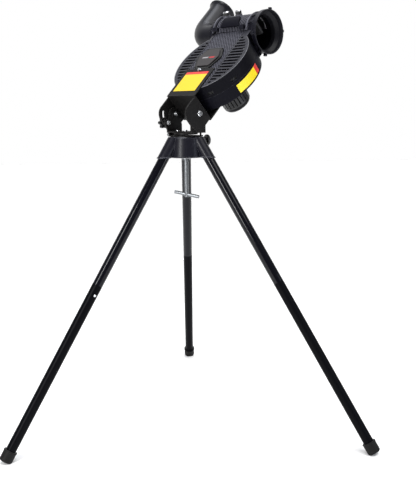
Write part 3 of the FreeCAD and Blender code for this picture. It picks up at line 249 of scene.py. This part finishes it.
def wear_and_sheen_edge_group():
    """Mask of corners painted lighter, partly wear and partly painted highlight: where a rounded normal leaves the
    true one, broken up by noise.
    """
    group, entry, leave = new_group(
        "worn_and_sheen_edges", [("Radius", "NodeSocketFloat", 0.0015), ("Break Up", "NodeSocketFloat", 180.0)],
        [("Mask", "NodeSocketFloat")])
    link = group.links.new
    rounded = add_node(group, "ShaderNodeBevel", {"samples": 4})
    link(entry.outputs["Radius"], rounded.inputs["Radius"])
    true_normal = group.nodes.new("ShaderNodeNewGeometry")
    dot = add_node(group, "ShaderNodeVectorMath", {"operation": "DOT_PRODUCT"})
    link(rounded.outputs[0], dot.inputs[0])
    link(true_normal.outputs["Normal"], dot.inputs[1])
    spread = mapped(group, dot.outputs["Value"], 0.985, 0.80)
    place = group.nodes.new("ShaderNodeTexCoord")
    noise = add_node(group, "ShaderNodeTexNoise", Detail=3.0)
    link(place.outputs["Object"], noise.inputs["Vector"])
    link(entry.outputs["Break Up"], noise.inputs["Scale"])
    patchy = mapped(group, noise.outputs["Fac"], 0.38, 0.62, to_low=0.1)
    both = add_node(group, "ShaderNodeMath", {"operation": "MULTIPLY"})
    link(spread, both.inputs[0])
    link(patchy, both.inputs[1])
    link(both.outputs[0], leave.inputs["Mask"])
    return group


MOTTLED = mottled_group()
WORN_AND_SHEEN = wear_and_sheen_edge_group()


def finish(name, color, roughness, metallic=0.0, drift=0.25, roughness_drift=0.12, grain=900.0, bump=0.15,
           depth=0.0003, coat=0.0, coat_roughness=0.05, edge_wear_and_sheen_color=None, edge_radius=0.0012, drift_scale=14.0,
           specular=0.5):
    """A material with mottled colour, grain, and corners painted lighter where an edge colour is given, partly
    wear and partly painted highlight.
    """
    material = bpy.data.materials.new(name)
    material.use_nodes = True
    tree = material.node_tree
    shader = tree.nodes["Principled BSDF"]
    link = tree.links.new
    surface = add_node(tree, "ShaderNodeGroup", {"node_tree": MOTTLED})
    surface.inputs["Color"].default_value = (*color, 1)
    surface.inputs["Drift"].default_value = drift
    surface.inputs["Roughness"].default_value = roughness
    surface.inputs["Roughness Drift"].default_value = roughness_drift
    surface.inputs["Grain Scale"].default_value = grain
    surface.inputs["Drift Scale"].default_value = drift_scale
    shader.inputs["Metallic"].default_value = metallic
    shader.inputs["Coat Weight"].default_value = coat
    shader.inputs["Coat Roughness"].default_value = coat_roughness
    shader.inputs["Specular IOR Level"].default_value = specular
    bumps = add_node(tree, "ShaderNodeBump", Strength=bump, Distance=depth)
    link(surface.outputs["Height"], bumps.inputs["Height"])
    link(bumps.outputs["Normal"], shader.inputs["Normal"])
    link(surface.outputs["Roughness"], shader.inputs["Roughness"])
    color_out = surface.outputs["Color"]
    # Lighter corners: partly wear, partly painted highlight along the edges.
    if edge_wear_and_sheen_color:
        edges = add_node(tree, "ShaderNodeGroup", {"node_tree": WORN_AND_SHEEN})
        edges.inputs["Radius"].default_value = edge_radius
        mix = add_node(tree, "ShaderNodeMix", {"data_type": "RGBA"})
        link(edges.outputs["Mask"], mix.inputs["Factor"])
        link(color_out, mix.inputs["A"])
        mix.inputs["B"].default_value = (*edge_wear_and_sheen_color, 1)
        color_out = mix.outputs["Result"]
    link(color_out, shader.inputs["Base Color"])
    return material


def make_finishes():
    return {
        "hub_gloss": finish("hub_enamel", (0.006, 0.006, 0.010), 0.36, coat=0.06, coat_roughness=0.2,
                            grain=260, bump=0.06, edge_wear_and_sheen_color=(0.22, 0.22, 0.25), edge_radius=0.002,
                            specular=0.17),
        "leg_gloss": finish("leg_enamel", (0.003, 0.003, 0.005), 0.20, coat=0.3, coat_roughness=0.04,
                            grain=300, bump=0.02, specular=0.06),
        "leg_satin": finish("lower_leg_enamel", (0.003, 0.003, 0.004), 0.30, grain=500, bump=0.05,
                             specular=0.035),
        "foot_rubber": finish("foot_rubber", (0.007, 0.007, 0.007), 0.55, grain=1200, bump=0.3,
                              edge_wear_and_sheen_color=(0.05, 0.05, 0.05), specular=0.12),
        "zinc": finish("bright_zinc", (0.72, 0.73, 0.75), 0.22, metallic=1.0, grain=700, bump=0.1),
        "rod_steel": finish("dull_plated_steel", (0.20, 0.21, 0.22), 0.38, metallic=1.0, grain=500,
                            bump=0.15),
        "knob_black": finish("knob_plastic", (0.006, 0.006, 0.007), 0.36, grain=1400, bump=0.2,
                             edge_wear_and_sheen_color=(0.05, 0.05, 0.05)),
        "plate_black": finish("powder_coat", (0.0065, 0.006, 0.006), 0.46, grain=1500, bump=0.4,
                              edge_wear_and_sheen_color=(0.11, 0.105, 0.10), specular=0.13),
        "label_yellow": finish("yellow_film", (0.93, 0.78, 0.01), 0.35, drift=0.08, grain=500, bump=0.05),
        "case_black": finish("case_plastic", (0.005, 0.005, 0.008), 0.42, grain=1300, bump=0.3,
                             edge_wear_and_sheen_color=(0.07, 0.07, 0.085), specular=0.045),
        "badge_gloss": finish("badge_plastic", (0.045, 0.038, 0.038), 0.32, grain=600, bump=0.08,
                              edge_wear_and_sheen_color=(0.12, 0.11, 0.11)),
        "elbow_gloss": finish("elbow_plastic", (0.009, 0.009, 0.012), 0.34, grain=300, bump=0.06,
                              specular=0.2),
        "tyre": finish("tyre_rubber", (0.02, 0.02, 0.02), 0.7, grain=900, bump=0.5),
        "wheel_alloy": finish("turned_alloy", (0.55, 0.56, 0.58), 0.35, metallic=1.0, grain=600, bump=0.2),
        "shaft_steel": finish("ground_steel", (0.5, 0.5, 0.52), 0.3, metallic=1.0, grain=800, bump=0.1),
        "motor_black": finish("motor_enamel", (0.005, 0.005, 0.006), 0.32, grain=800, bump=0.1,
                              edge_wear_and_sheen_color=(0.06, 0.06, 0.06), specular=0.10),
        "rotor_iron": finish("rotor_iron", (0.15, 0.14, 0.14), 0.6, metallic=0.8, grain=900, bump=0.3),
        "pad_rubber": finish("pad_rubber", (0.03, 0.03, 0.03), 0.66, grain=1000, bump=0.4),
        "switch_red": finish("switch_plastic", (0.45, 0.02, 0.02), 0.3, grain=700, bump=0.08),
        "inlet_black": finish("inlet_plastic", (0.015, 0.015, 0.015), 0.4, grain=1100, bump=0.15),
    }


# ------------------------------------------------------------------ face-plate and label materials
HOUSING = joint_place("wheel_spin")
UP_HEAD = FACE.cross(THROW)
HOLE_PITCH = 7.6 * MM
HOLE_RADIUS = 2.8 * MM
HOLE_EDGE = 0.8, 1.15  # where a hole's colour starts and ends to fade, in hole radii
FACING = 0.9, 0.95  # how squarely a surface faces a direction before it counts, from none to all of it
SLOT_END_FACING = 0.85, 0.95
SLOT_END_START = 30 * MM
# Painted light on the front face: a lighter sheen on faces that look out of it, paler still on the band, a bright
# highlight on the slot ends, and near-black painted shade in the holes.
FACE_SHEEN_PAINT = (0.022, 0.022, 0.028)
BAND_SHEEN_PAINT = (0.075, 0.075, 0.094)
SLOT_END_HIGHLIGHT_PAINT = (0.55, 0.55, 0.6)
HOLE_SHADE_PAINT = (0.0008, 0.0008, 0.0008)
LABEL_RED = (0.62, 0.03, 0.02)
RULE_PAINT = (0.25, 0.2, 0.02)
RULE_STRENGTH = 0.16
BORE_SHADE_PAINT = (0.012, 0.012, 0.015)
BADGE_BORDER_PAINT = (0.004, 0.004, 0.004)
BADGE_BAR_HALF_HEIGHT = 2.8 * MM
# Each bar's ends along the badge, and its paint.
BADGE_BARS = ((-26 * MM, 1 * MM, (0.22, 0.21, 0.22)), (5 * MM, 28 * MM, (0.36, 0.015, 0.02)))
CAP_PAINT = (0.72, 0.73, 0.76)


def dotted(tree, vector, direction):
    """How far a vector output goes along a fixed direction."""
    node = add_node(tree, "ShaderNodeVectorMath", {"operation": "DOT_PRODUCT"})
    tree.links.new(vector, node.inputs[0])
    node.inputs[1].default_value = direction
    return node.outputs["Value"]


def along(tree, direction, origin):
    """Distance in metres from the origin along a direction, for each surface point."""
    place = tree.nodes.new("ShaderNodeTexCoord")
    offset = add_node(tree, "ShaderNodeVectorMath", {"operation": "SUBTRACT"})
    tree.links.new(place.outputs["Object"], offset.inputs[0])
    offset.inputs[1].default_value = origin
    return dotted(tree, offset.outputs[0], direction)


def math_node(tree, operation, first, second=None, third=None, clamp=False):
    node = add_node(tree, "ShaderNodeMath", {"operation": operation, "use_clamp": clamp})
    for socket, value in zip(node.inputs, (first, second, third)):
        if value is None:
            continue
        if isinstance(value, (int, float)):
            socket.default_value = value
        else:
            tree.links.new(value, socket)
    return node.outputs[0]


def flipped(tree, mask):
    return math_node(tree, "SUBTRACT", 1.0, mask)


def lattice_distance(tree, across, up, pitch, shift):
    """Distance to the nearest point of a square-cornered lattice, one half of a staggered one."""
    rise = pitch * math.sqrt(3)
    parts = []
    for value, step in ((across, pitch), (up, rise)):
        moved = math_node(tree, "ADD", value, step * shift)
        wrapped = math_node(tree, "PINGPONG", moved, step / 2)
        parts.append(math_node(tree, "MULTIPLY", wrapped, wrapped))
    return math_node(tree, "SQRT", math_node(tree, "ADD", parts[0], parts[1]))


def mix_color(tree, mask, first, second):
    node = add_node(tree, "ShaderNodeMix", {"data_type": "RGBA"})
    tree.links.new(mask, node.inputs["Factor"])
    for key, value in (("A", first), ("B", second)):
        if isinstance(value, tuple):
            node.inputs[key].default_value = (*value, 1)
        else:
            tree.links.new(value, node.inputs[key])
    return node.outputs["Result"]


def product(tree, *masks):
    result = masks[0]
    for mask in masks[1:]:
        result = math_node(tree, "MULTIPLY", result, mask)
    return result


def within(tree, value, low, high, fade):
    """1 between low and high, 0 outside them, with a fade inside each end."""
    return product(tree, mapped(tree, value, low, low + fade),
                   flipped(tree, mapped(tree, value, high - fade, high)))


def opened(material):
    """A finish's node tree, its shader, and the output that colours it."""
    tree = material.node_tree
    shader = tree.nodes["Principled BSDF"]
    return tree, shader, shader.inputs["Base Color"].links[0].from_socket


def own_normal(tree):
    """The surface's normal in the object's own axes, so that it doesn't change as the piece turns."""
    geometry = tree.nodes.new("ShaderNodeNewGeometry")
    turn = add_node(tree, "ShaderNodeVectorTransform", {"vector_type": "NORMAL", "convert_from": "WORLD",
                                                        "convert_to": "OBJECT"})
    tree.links.new(geometry.outputs["Normal"], turn.inputs[0])
    return turn.outputs[0]


def perforate(material, low, high):
    """Staggered round holes on the flat band of the front face, from low to high along the throw, drawn as
    near-black painted shade; the front face and band get a painted sheen and the slot ends a painted highlight.
    """
    tree, shader, color = opened(material)
    across = along(tree, THROW, HOUSING)
    up = along(tree, UP_HEAD, HOUSING)
    near = math_node(tree, "MINIMUM", lattice_distance(tree, across, up, HOLE_PITCH, 0.0),
                     lattice_distance(tree, across, up, HOLE_PITCH, 0.5))
    hole = flipped(tree, mapped(tree, near, *(HOLE_RADIUS * share for share in HOLE_EDGE)))
    normal = own_normal(tree)
    flat = mapped(tree, dotted(tree, normal, FACE), *FACING)
    band = product(tree, within(tree, across, low, high, 1 * MM), flat)
    mask = product(tree, hole, band)
    # The slot ends that face back along the throw are painted bright as a highlight.
    slot_end_highlight = product(tree, mapped(tree, dotted(tree, normal, -THROW), *SLOT_END_FACING),
                       mapped(tree, across, SLOT_END_START, SLOT_END_START + 1 * MM))
    for part, paint in ((flat, FACE_SHEEN_PAINT), (band, BAND_SHEEN_PAINT), (slot_end_highlight, SLOT_END_HIGHLIGHT_PAINT),
                        (mask, HOLE_SHADE_PAINT)):
        color = mix_color(tree, part, color, paint)
    tree.links.new(color, shader.inputs["Base Color"])
    plate_shine = math_node(tree, "MULTIPLY_ADD", flat, 0.12, 0.045)
    shine = math_node(tree, "MULTIPLY", flipped(tree, mask), plate_shine)
    tree.links.new(shine, shader.inputs["Specular IOR Level"])
    grain = shader.inputs["Normal"].links[0].from_socket
    holes = add_node(tree, "ShaderNodeBump", {"invert": True}, Strength=0.9, Distance=0.8 * MM)
    tree.links.new(mask, holes.inputs["Height"])
    tree.links.new(grain, holes.inputs["Normal"])
    tree.links.new(holes.outputs["Normal"], shader.inputs["Normal"])


def banded_label(material, red_start, rule_pitch):
    """Faint ruled lines on a yellow label, and red from red_start up the head."""
    tree, shader, color = opened(material)
    place = along(tree, UP_HEAD, HEAD.translation)
    rule = math_node(tree, "PINGPONG", place, rule_pitch / 2)
    line = flipped(tree, mapped(tree, rule, 0.2 * MM, 0.5 * MM))
    color = mix_color(tree, math_node(tree, "MULTIPLY", line, RULE_STRENGTH), color, RULE_PAINT)
    color = mix_color(tree, mapped(tree, place, red_start, red_start + 0.6 * MM), color, LABEL_RED)
    tree.links.new(color, shader.inputs["Base Color"])


def ribs_with_painted_light(material, origin, sides, crest, paint):
    """Grooves painted dark as shade and rib tops painted paler as highlight, by distance from an axis that is
    square to both sides.
    """
    tree, shader, color = opened(material)
    first, second = (along(tree, side, origin) for side in sides)
    squares = math_node(tree, "MULTIPLY_ADD", first, first, math_node(tree, "MULTIPLY", second, second))
    top = mapped(tree, math_node(tree, "SQRT", squares), crest - 0.3 * MM, crest + 0.3 * MM)
    tree.links.new(mix_color(tree, top, color, paint), shader.inputs["Base Color"])
    tree.links.new(math_node(tree, "MULTIPLY_ADD", top, 0.3, 0.05), shader.inputs["Specular IOR Level"])


def painted_shade_bore(material, origin):
    """Painted shade: nearly black on the surfaces that face the throw axis."""
    tree, shader, color = opened(material)
    normal = own_normal(tree)
    parts = [math_node(tree, "MULTIPLY", dotted(tree, normal, direction), along(tree, direction, origin))
             for direction in (UP_HEAD, FACE)]
    inward = math_node(tree, "LESS_THAN", math_node(tree, "ADD", *parts), -20 * MM)
    tree.links.new(mix_color(tree, inward, color, BORE_SHADE_PAINT), shader.inputs["Base Color"])
    kept = flipped(tree, math_node(tree, "MULTIPLY", inward, 0.4))
    tree.links.new(math_node(tree, "MULTIPLY", kept, 0.2), shader.inputs["Specular IOR Level"])


def striped_badge(material, middle):
    """A raised part paler than its black border, crossed by two slanted bars, pale and red."""
    tree, shader, color = opened(material)
    across, up, out = (along(tree, direction, middle) for direction in (THROW, UP_HEAD, FACE))
    slanted = math_node(tree, "SUBTRACT", across, math_node(tree, "MULTIPLY", up, 0.5))
    thin = flipped(tree, mapped(tree, math_node(tree, "ABSOLUTE", up), BADGE_BAR_HALF_HEIGHT,
                                BADGE_BAR_HALF_HEIGHT + 0.6 * MM))
    color = mix_color(tree, mapped(tree, out, 0.0, 0.4 * MM), BADGE_BORDER_PAINT, color)
    for low, high, paint in BADGE_BARS:
        color = mix_color(tree, product(tree, thin, within(tree, slanted, low, high, 0.8 * MM)), color, paint)
    tree.links.new(color, shader.inputs["Base Color"])


def bright_top(material, direction, origin, start):
    """Bright metal on the part of a knob that lies beyond start along its axis."""
    tree, shader, color = opened(material)
    top = mapped(tree, along(tree, direction, origin), start, start + 0.4 * MM)
    tree.links.new(mix_color(tree, top, color, CAP_PAINT), shader.inputs["Base Color"])
    tree.links.new(top, shader.inputs["Metallic"])
    rough = shader.inputs["Roughness"].links[0].from_socket
    smoother = math_node(tree, "SUBTRACT", rough, math_node(tree, "MULTIPLY", top, 0.2), clamp=True)
    tree.links.new(smoother, shader.inputs["Roughness"])


# ------------------------------------------------------------------ pieces
node_slots = {part["node"]: part["material_slot"] for part in frame["record"]["subparts"]}
node_bodies = {name: body for body, names in frame["record"]["behaviour"]["bodies"].items() for name in names}
shaped = set()  # CAD nodes that a piece stands for
MERGE_DISTANCE = 0.01 * MM
FLAT_ANGLE = 0.5
SHARP_ANGLE = 32
BEVEL_SEGMENTS = 2
# Faces of the mouth's rim about its own line and about the mouth.
RIM_SIDES = 12
RIM_STEPS = 72
# Faces of a cover's rim about its own line, and the degrees of arc that each covers.
BEAD_SIDES = 10
BEAD_STEP = 2


def new_piece(name, bm, material, body, replaced=()):
    mesh = bpy.data.meshes.new(name)
    bm.to_mesh(mesh)
    bm.free()
    piece = bpy.data.objects.new(name, mesh)
    scene.collection.objects.link(piece)
    mesh.materials.append(material)
    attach(piece, body)
    if replaced:
        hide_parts(*replaced)
    return piece


def set_shading(bm, sharp_angle):
    limit = math.radians(sharp_angle)
    for face in bm.faces:
        face.smooth = True
    for edge in bm.edges:
        edge.smooth = len(edge.link_faces) == 2 and edge.calc_face_angle(math.pi) < limit


def refined(name, width, material=None, merge_faces=True):
    """A copy of a CAD node with its flat faces merged and its corners rounded."""
    bm = bmesh.new()
    bm.from_mesh(nodes[name].data)
    for layer in list(bm.loops.layers.uv):
        bm.loops.layers.uv.remove(layer)
    bmesh.ops.remove_doubles(bm, verts=bm.verts, dist=MERGE_DISTANCE)
    if merge_faces:
        bmesh.ops.dissolve_limit(bm, angle_limit=math.radians(FLAT_ANGLE), verts=bm.verts, edges=bm.edges)
    bmesh.ops.recalc_face_normals(bm, faces=bm.faces)
    set_shading(bm, SHARP_ANGLE)
    piece = new_piece(name + "_shape", bm, material or finishes[node_slots[name]], node_bodies[name],
                      [name])
    shaped.add(name)
    bevel = piece.modifiers.new("rounded", "BEVEL")
    bevel.width = width
    bevel.segments = BEVEL_SEGMENTS
    bevel.limit_method = "ANGLE"
    bevel.angle_limit = math.radians(SHARP_ANGLE)
    bevel.harden_normals = True
    bevel.miter_outer = "MITER_ARC"


def ring_bead(name, middle, axis, radius, thick, material, body):
    """Rolled rim: a round bead about an axis."""
    bm = bmesh.new()
    side = axis.orthogonal().normalized()
    profile = []
    for i in range(RIM_SIDES):
        turn = math.tau * i / RIM_SIDES
        outward = side * (radius + thick * math.cos(turn))
        profile.append(bm.verts.new(middle + outward + axis * thick * math.sin(turn)))
    edges = [bm.edges.new((profile[i], profile[(i + 1) % RIM_SIDES])) for i in range(RIM_SIDES)]
    bmesh.ops.spin(bm, geom=profile + edges, cent=middle, axis=axis, angle=math.tau, steps=RIM_STEPS)
    bmesh.ops.remove_doubles(bm, verts=bm.verts, dist=MERGE_DISTANCE)
    bmesh.ops.recalc_face_normals(bm, faces=bm.faces)
    set_shading(bm, 80)
    new_piece(name, bm, material, body)


def arc_bead(name, middle, radius, thick, start, end, material, body):
    """Round bead along an arc in the plane of the front face; angles run from the throw axis up the head."""
    bm = bmesh.new()
    rings = []
    steps = max(8, int(abs(end - start) / BEAD_STEP))
    for i in range(steps + 1):
        turn = math.radians(start + (end - start) * i / steps)
        outward = THROW * math.cos(turn) + UP_HEAD * math.sin(turn)
        ring = []
        for j in range(BEAD_SIDES):
            angle = math.tau * j / BEAD_SIDES
            reach = outward * (radius + thick * math.cos(angle))
            ring.append(bm.verts.new(middle + reach + FACE * thick * math.sin(angle)))
        rings.append(ring)
    for first, second in zip(rings, rings[1:]):
        for j in range(BEAD_SIDES):
            after = (j + 1) % BEAD_SIDES
            bm.faces.new((first[j], first[after], second[after], second[j]))
    bm.faces.new(rings[0])
    bm.faces.new(rings[-1])
    bmesh.ops.recalc_face_normals(bm, faces=bm.faces)
    set_shading(bm, 60)
    new_piece(name, bm, material, body)


# ------------------------------------------------------------------ build
BADGE_TO_BAND_REAR = 7 * MM
BADGE_TO_BAND_FRONT = 17 * MM
BADGE_BORDER_SHARE = 0.66  # of the badge's thickness, below its raised part
CAP_LENGTH = 3.6 * MM
NECK_HALF_WIDTH = 84 * MM
RIM_GAP = 3 * MM
BRACKET_PLATE = 4 * MM
BARREL_RADIUS = 60 * MM
MOTOR_RADIUS = 48.5 * MM
MOUTH_BEAD = 2.1 * MM
RIM_BEAD = 1.0 * MM
RIM_INSET = 0.2 * MM
RIB_CREST = 0.8 * MM
FLUTE_CREST = -0.6 * MM
# Corner widths by node; whatever isn't named here gets the plain width.
PLAIN_WIDTH = 0.4 * MM
CORNER_WIDTHS = {"tripod_hub": 1.2 * MM, "rear_cover": 0.9 * MM, "head_bracket": 0.7 * MM, "yoke": 0.7 * MM,
                 "pad_cover": 1.2 * MM, "control_box": 1.6 * MM, "motor_cap": 0.8 * MM, "pan_knob": 0.8 * MM,
                 "roll_lock_knob": 1.2 * MM}

scene.view_settings.view_transform = "Standard"
add_camera()
add_stage()
add_world()
add_lights()
finishes = make_finishes()
for node_name, node in nodes.items():
    node.data.materials.clear()
    node.data.materials.append(finishes[node_slots[node_name]])

# The perforated band lies between the badge's sides, widened to the louvres' ends.
badge_low, badge_high = local_box("badge", HEAD)
housing_middle = HEAD.inverted() @ HOUSING
cover_finish = finish("front_cover_plastic", (0.004, 0.004, 0.006), 0.40, grain=1300, bump=0.2,
                      edge_wear_and_sheen_color=(0.05, 0.05, 0.06), specular=0.2, drift=0.1)
perforate(cover_finish, badge_low.x - housing_middle.x - BADGE_TO_BAND_REAR,
          badge_high.x - housing_middle.x + BADGE_TO_BAND_FRONT)
refined("front_cover", 0.9 * MM, cover_finish, merge_faces=False)

label_low, label_high = local_box("front_label", HEAD)
front_label_finish = finish("front_label_film", (0.62, 0.44, 0.005), 0.38, drift=0.06, grain=500, bump=0.05)
banded_label(front_label_finish, red_start=label_high.y - 11.5 * MM, rule_pitch=9.5 * MM)
refined("front_label", 0.1 * MM, front_label_finish)
side_label_top = local_box("side_label", HEAD)[1].y
side_label_finish = finish("side_label_film", (0.86, 0.66, 0.01), 0.38, drift=0.06, grain=500, bump=0.05)
banded_label(side_label_finish, red_start=side_label_top - 18 * MM, rule_pitch=14 * MM)
refined("side_label", 0.1 * MM, side_label_finish)

badge_finish = finish("badge_moulding", (0.022, 0.019, 0.020), 0.34, grain=600, bump=0.08, specular=0.3)
badge_middle = (badge_low + badge_high) / 2
badge_middle.z = badge_low.z + BADGE_BORDER_SHARE * (badge_high.z - badge_low.z)
striped_badge(badge_finish, HEAD @ badge_middle)
refined("badge", 1.2 * MM, badge_finish)

# The thumb knobs end in bright caps.
for end in ("rear", "front"):
    knob = "thumb_knob_" + end
    turn_place = joint_place("turn_thumb_" + end)
    turn_axis = joint_axis("turn_thumb_" + end)
    knob_top = max((vertex.co - turn_place).dot(turn_axis) for vertex in nodes[knob].data.vertices)
    knob_finish = finish("knob_with_cap_" + end, (0.012, 0.012, 0.013), 0.42, grain=1400, bump=0.2,
                         edge_wear_and_sheen_color=(0.05, 0.05, 0.05))
    bright_top(knob_finish, turn_axis, turn_place, knob_top - CAP_LENGTH)
    refined(knob, 0.6 * MM, knob_finish)

# The feed elbow's mouth has a rolled rim, as wide outside as the mouth.
elbow_low, elbow_high = local_box("feed_elbow", HEAD)
mouth_radius = (elbow_high.z - elbow_low.z) / 2
mouth = HEAD @ Vector((elbow_low.x + mouth_radius, elbow_high.y - MOUTH_BEAD,
                       (elbow_low.z + elbow_high.z) / 2))
bead_finish = finish("rolled_rim", (0.009, 0.009, 0.011), 0.3, grain=300, bump=0.06)
ring_bead("mouth_rim", mouth, UP_HEAD, mouth_radius - MOUTH_BEAD, MOUTH_BEAD, bead_finish, "feed")

# Screws of the covers and the badge are blackened.
screw_finish = finish("blackened_screws", (0.02, 0.02, 0.021), 0.35, metallic=0.7, grain=900, bump=0.1)
refined("housing_screws", 0.3 * MM, screw_finish)

barrel_finish = finish("barrel_plastic", (0.005, 0.005, 0.009), 0.40, grain=1300, bump=0.2,
                       edge_wear_and_sheen_color=(0.15, 0.15, 0.18), edge_radius=0.0018, specular=0.2)
for node_name, width in (("corner_clips", 0.8 * MM), ("feed_collar", 0.5 * MM)):
    refined(node_name, width, barrel_finish)
barrel_point = joint_place("feed_turn")
# Rib tops painted paler as highlight, with the grooves darker as painted shade.
ribs_finish = finish("ribbed_plastic", (0.0018, 0.0018, 0.003), 0.40, grain=1300, bump=0.2)
ribs_with_painted_light(ribs_finish, barrel_point, (UP_HEAD, FACE), BARREL_RADIUS + RIB_CREST, (0.09, 0.09, 0.11))
refined("barrel_cover", 0.35 * MM, ribs_finish)
# Flute lands painted paler as highlight, with the grooves near black as painted shade.
flutes_finish = finish("fluted_enamel", (0.0015, 0.0015, 0.0018), 0.30, grain=800, bump=0.1)
ribs_with_painted_light(flutes_finish, HOUSING, (THROW, UP_HEAD), MOTOR_RADIUS + FLUTE_CREST, (0.012, 0.012, 0.013))
refined("motor_can", 0.4 * MM, flutes_finish)
muzzle_finish = finish("muzzle_plastic", (0.006, 0.006, 0.010), 0.36, grain=1300, bump=0.2,
                       edge_wear_and_sheen_color=(0.12, 0.12, 0.14), edge_radius=0.0014)
# The inside of the muzzle is painted nearly black as shade.
painted_shade_bore(muzzle_finish, barrel_point)
refined("muzzle_ring", 0.5 * MM, muzzle_finish)

# A moulded rim runs along the front face's edge, from each side of the neck to the bracket; its pale colour is a
# painted highlight along the edge.
bracket_low, bracket_high = local_box("head_bracket", HEAD)
housing_radius = housing_middle.y - local_box("front_cover", HEAD)[0].y
rim_radius = housing_radius - RIM_BEAD - RIM_INSET
neck_turn = math.degrees(math.acos((NECK_HALF_WIDTH + RIM_GAP) / housing_radius))
left_turn = math.degrees(math.acos((bracket_low.x - RIM_GAP - housing_middle.x) / housing_radius))
right_turn = math.degrees(math.acos((bracket_high.x + RIM_GAP - housing_middle.x) / housing_radius))
rim_highlight_finish = finish("cover_rim_painted_highlight", (0.09, 0.09, 0.10), 0.34, grain=900, bump=0.1, specular=0.5)
face_middle = HEAD @ Vector((housing_middle.x, housing_middle.y, label_low.z - BRACKET_PLATE))
for piece_name, start, end in (("cover_rim_left", 180 - neck_turn, 360 - left_turn),
                               ("cover_rim_right", -right_turn, neck_turn)):
    arc_bead(piece_name, face_middle, rim_radius, RIM_BEAD, start, end, rim_highlight_finish, "head")

for node_name in sorted(set(nodes) - shaped):
    refined(node_name, CORNER_WIDTHS.get(node_name, PLAIN_WIDTH))
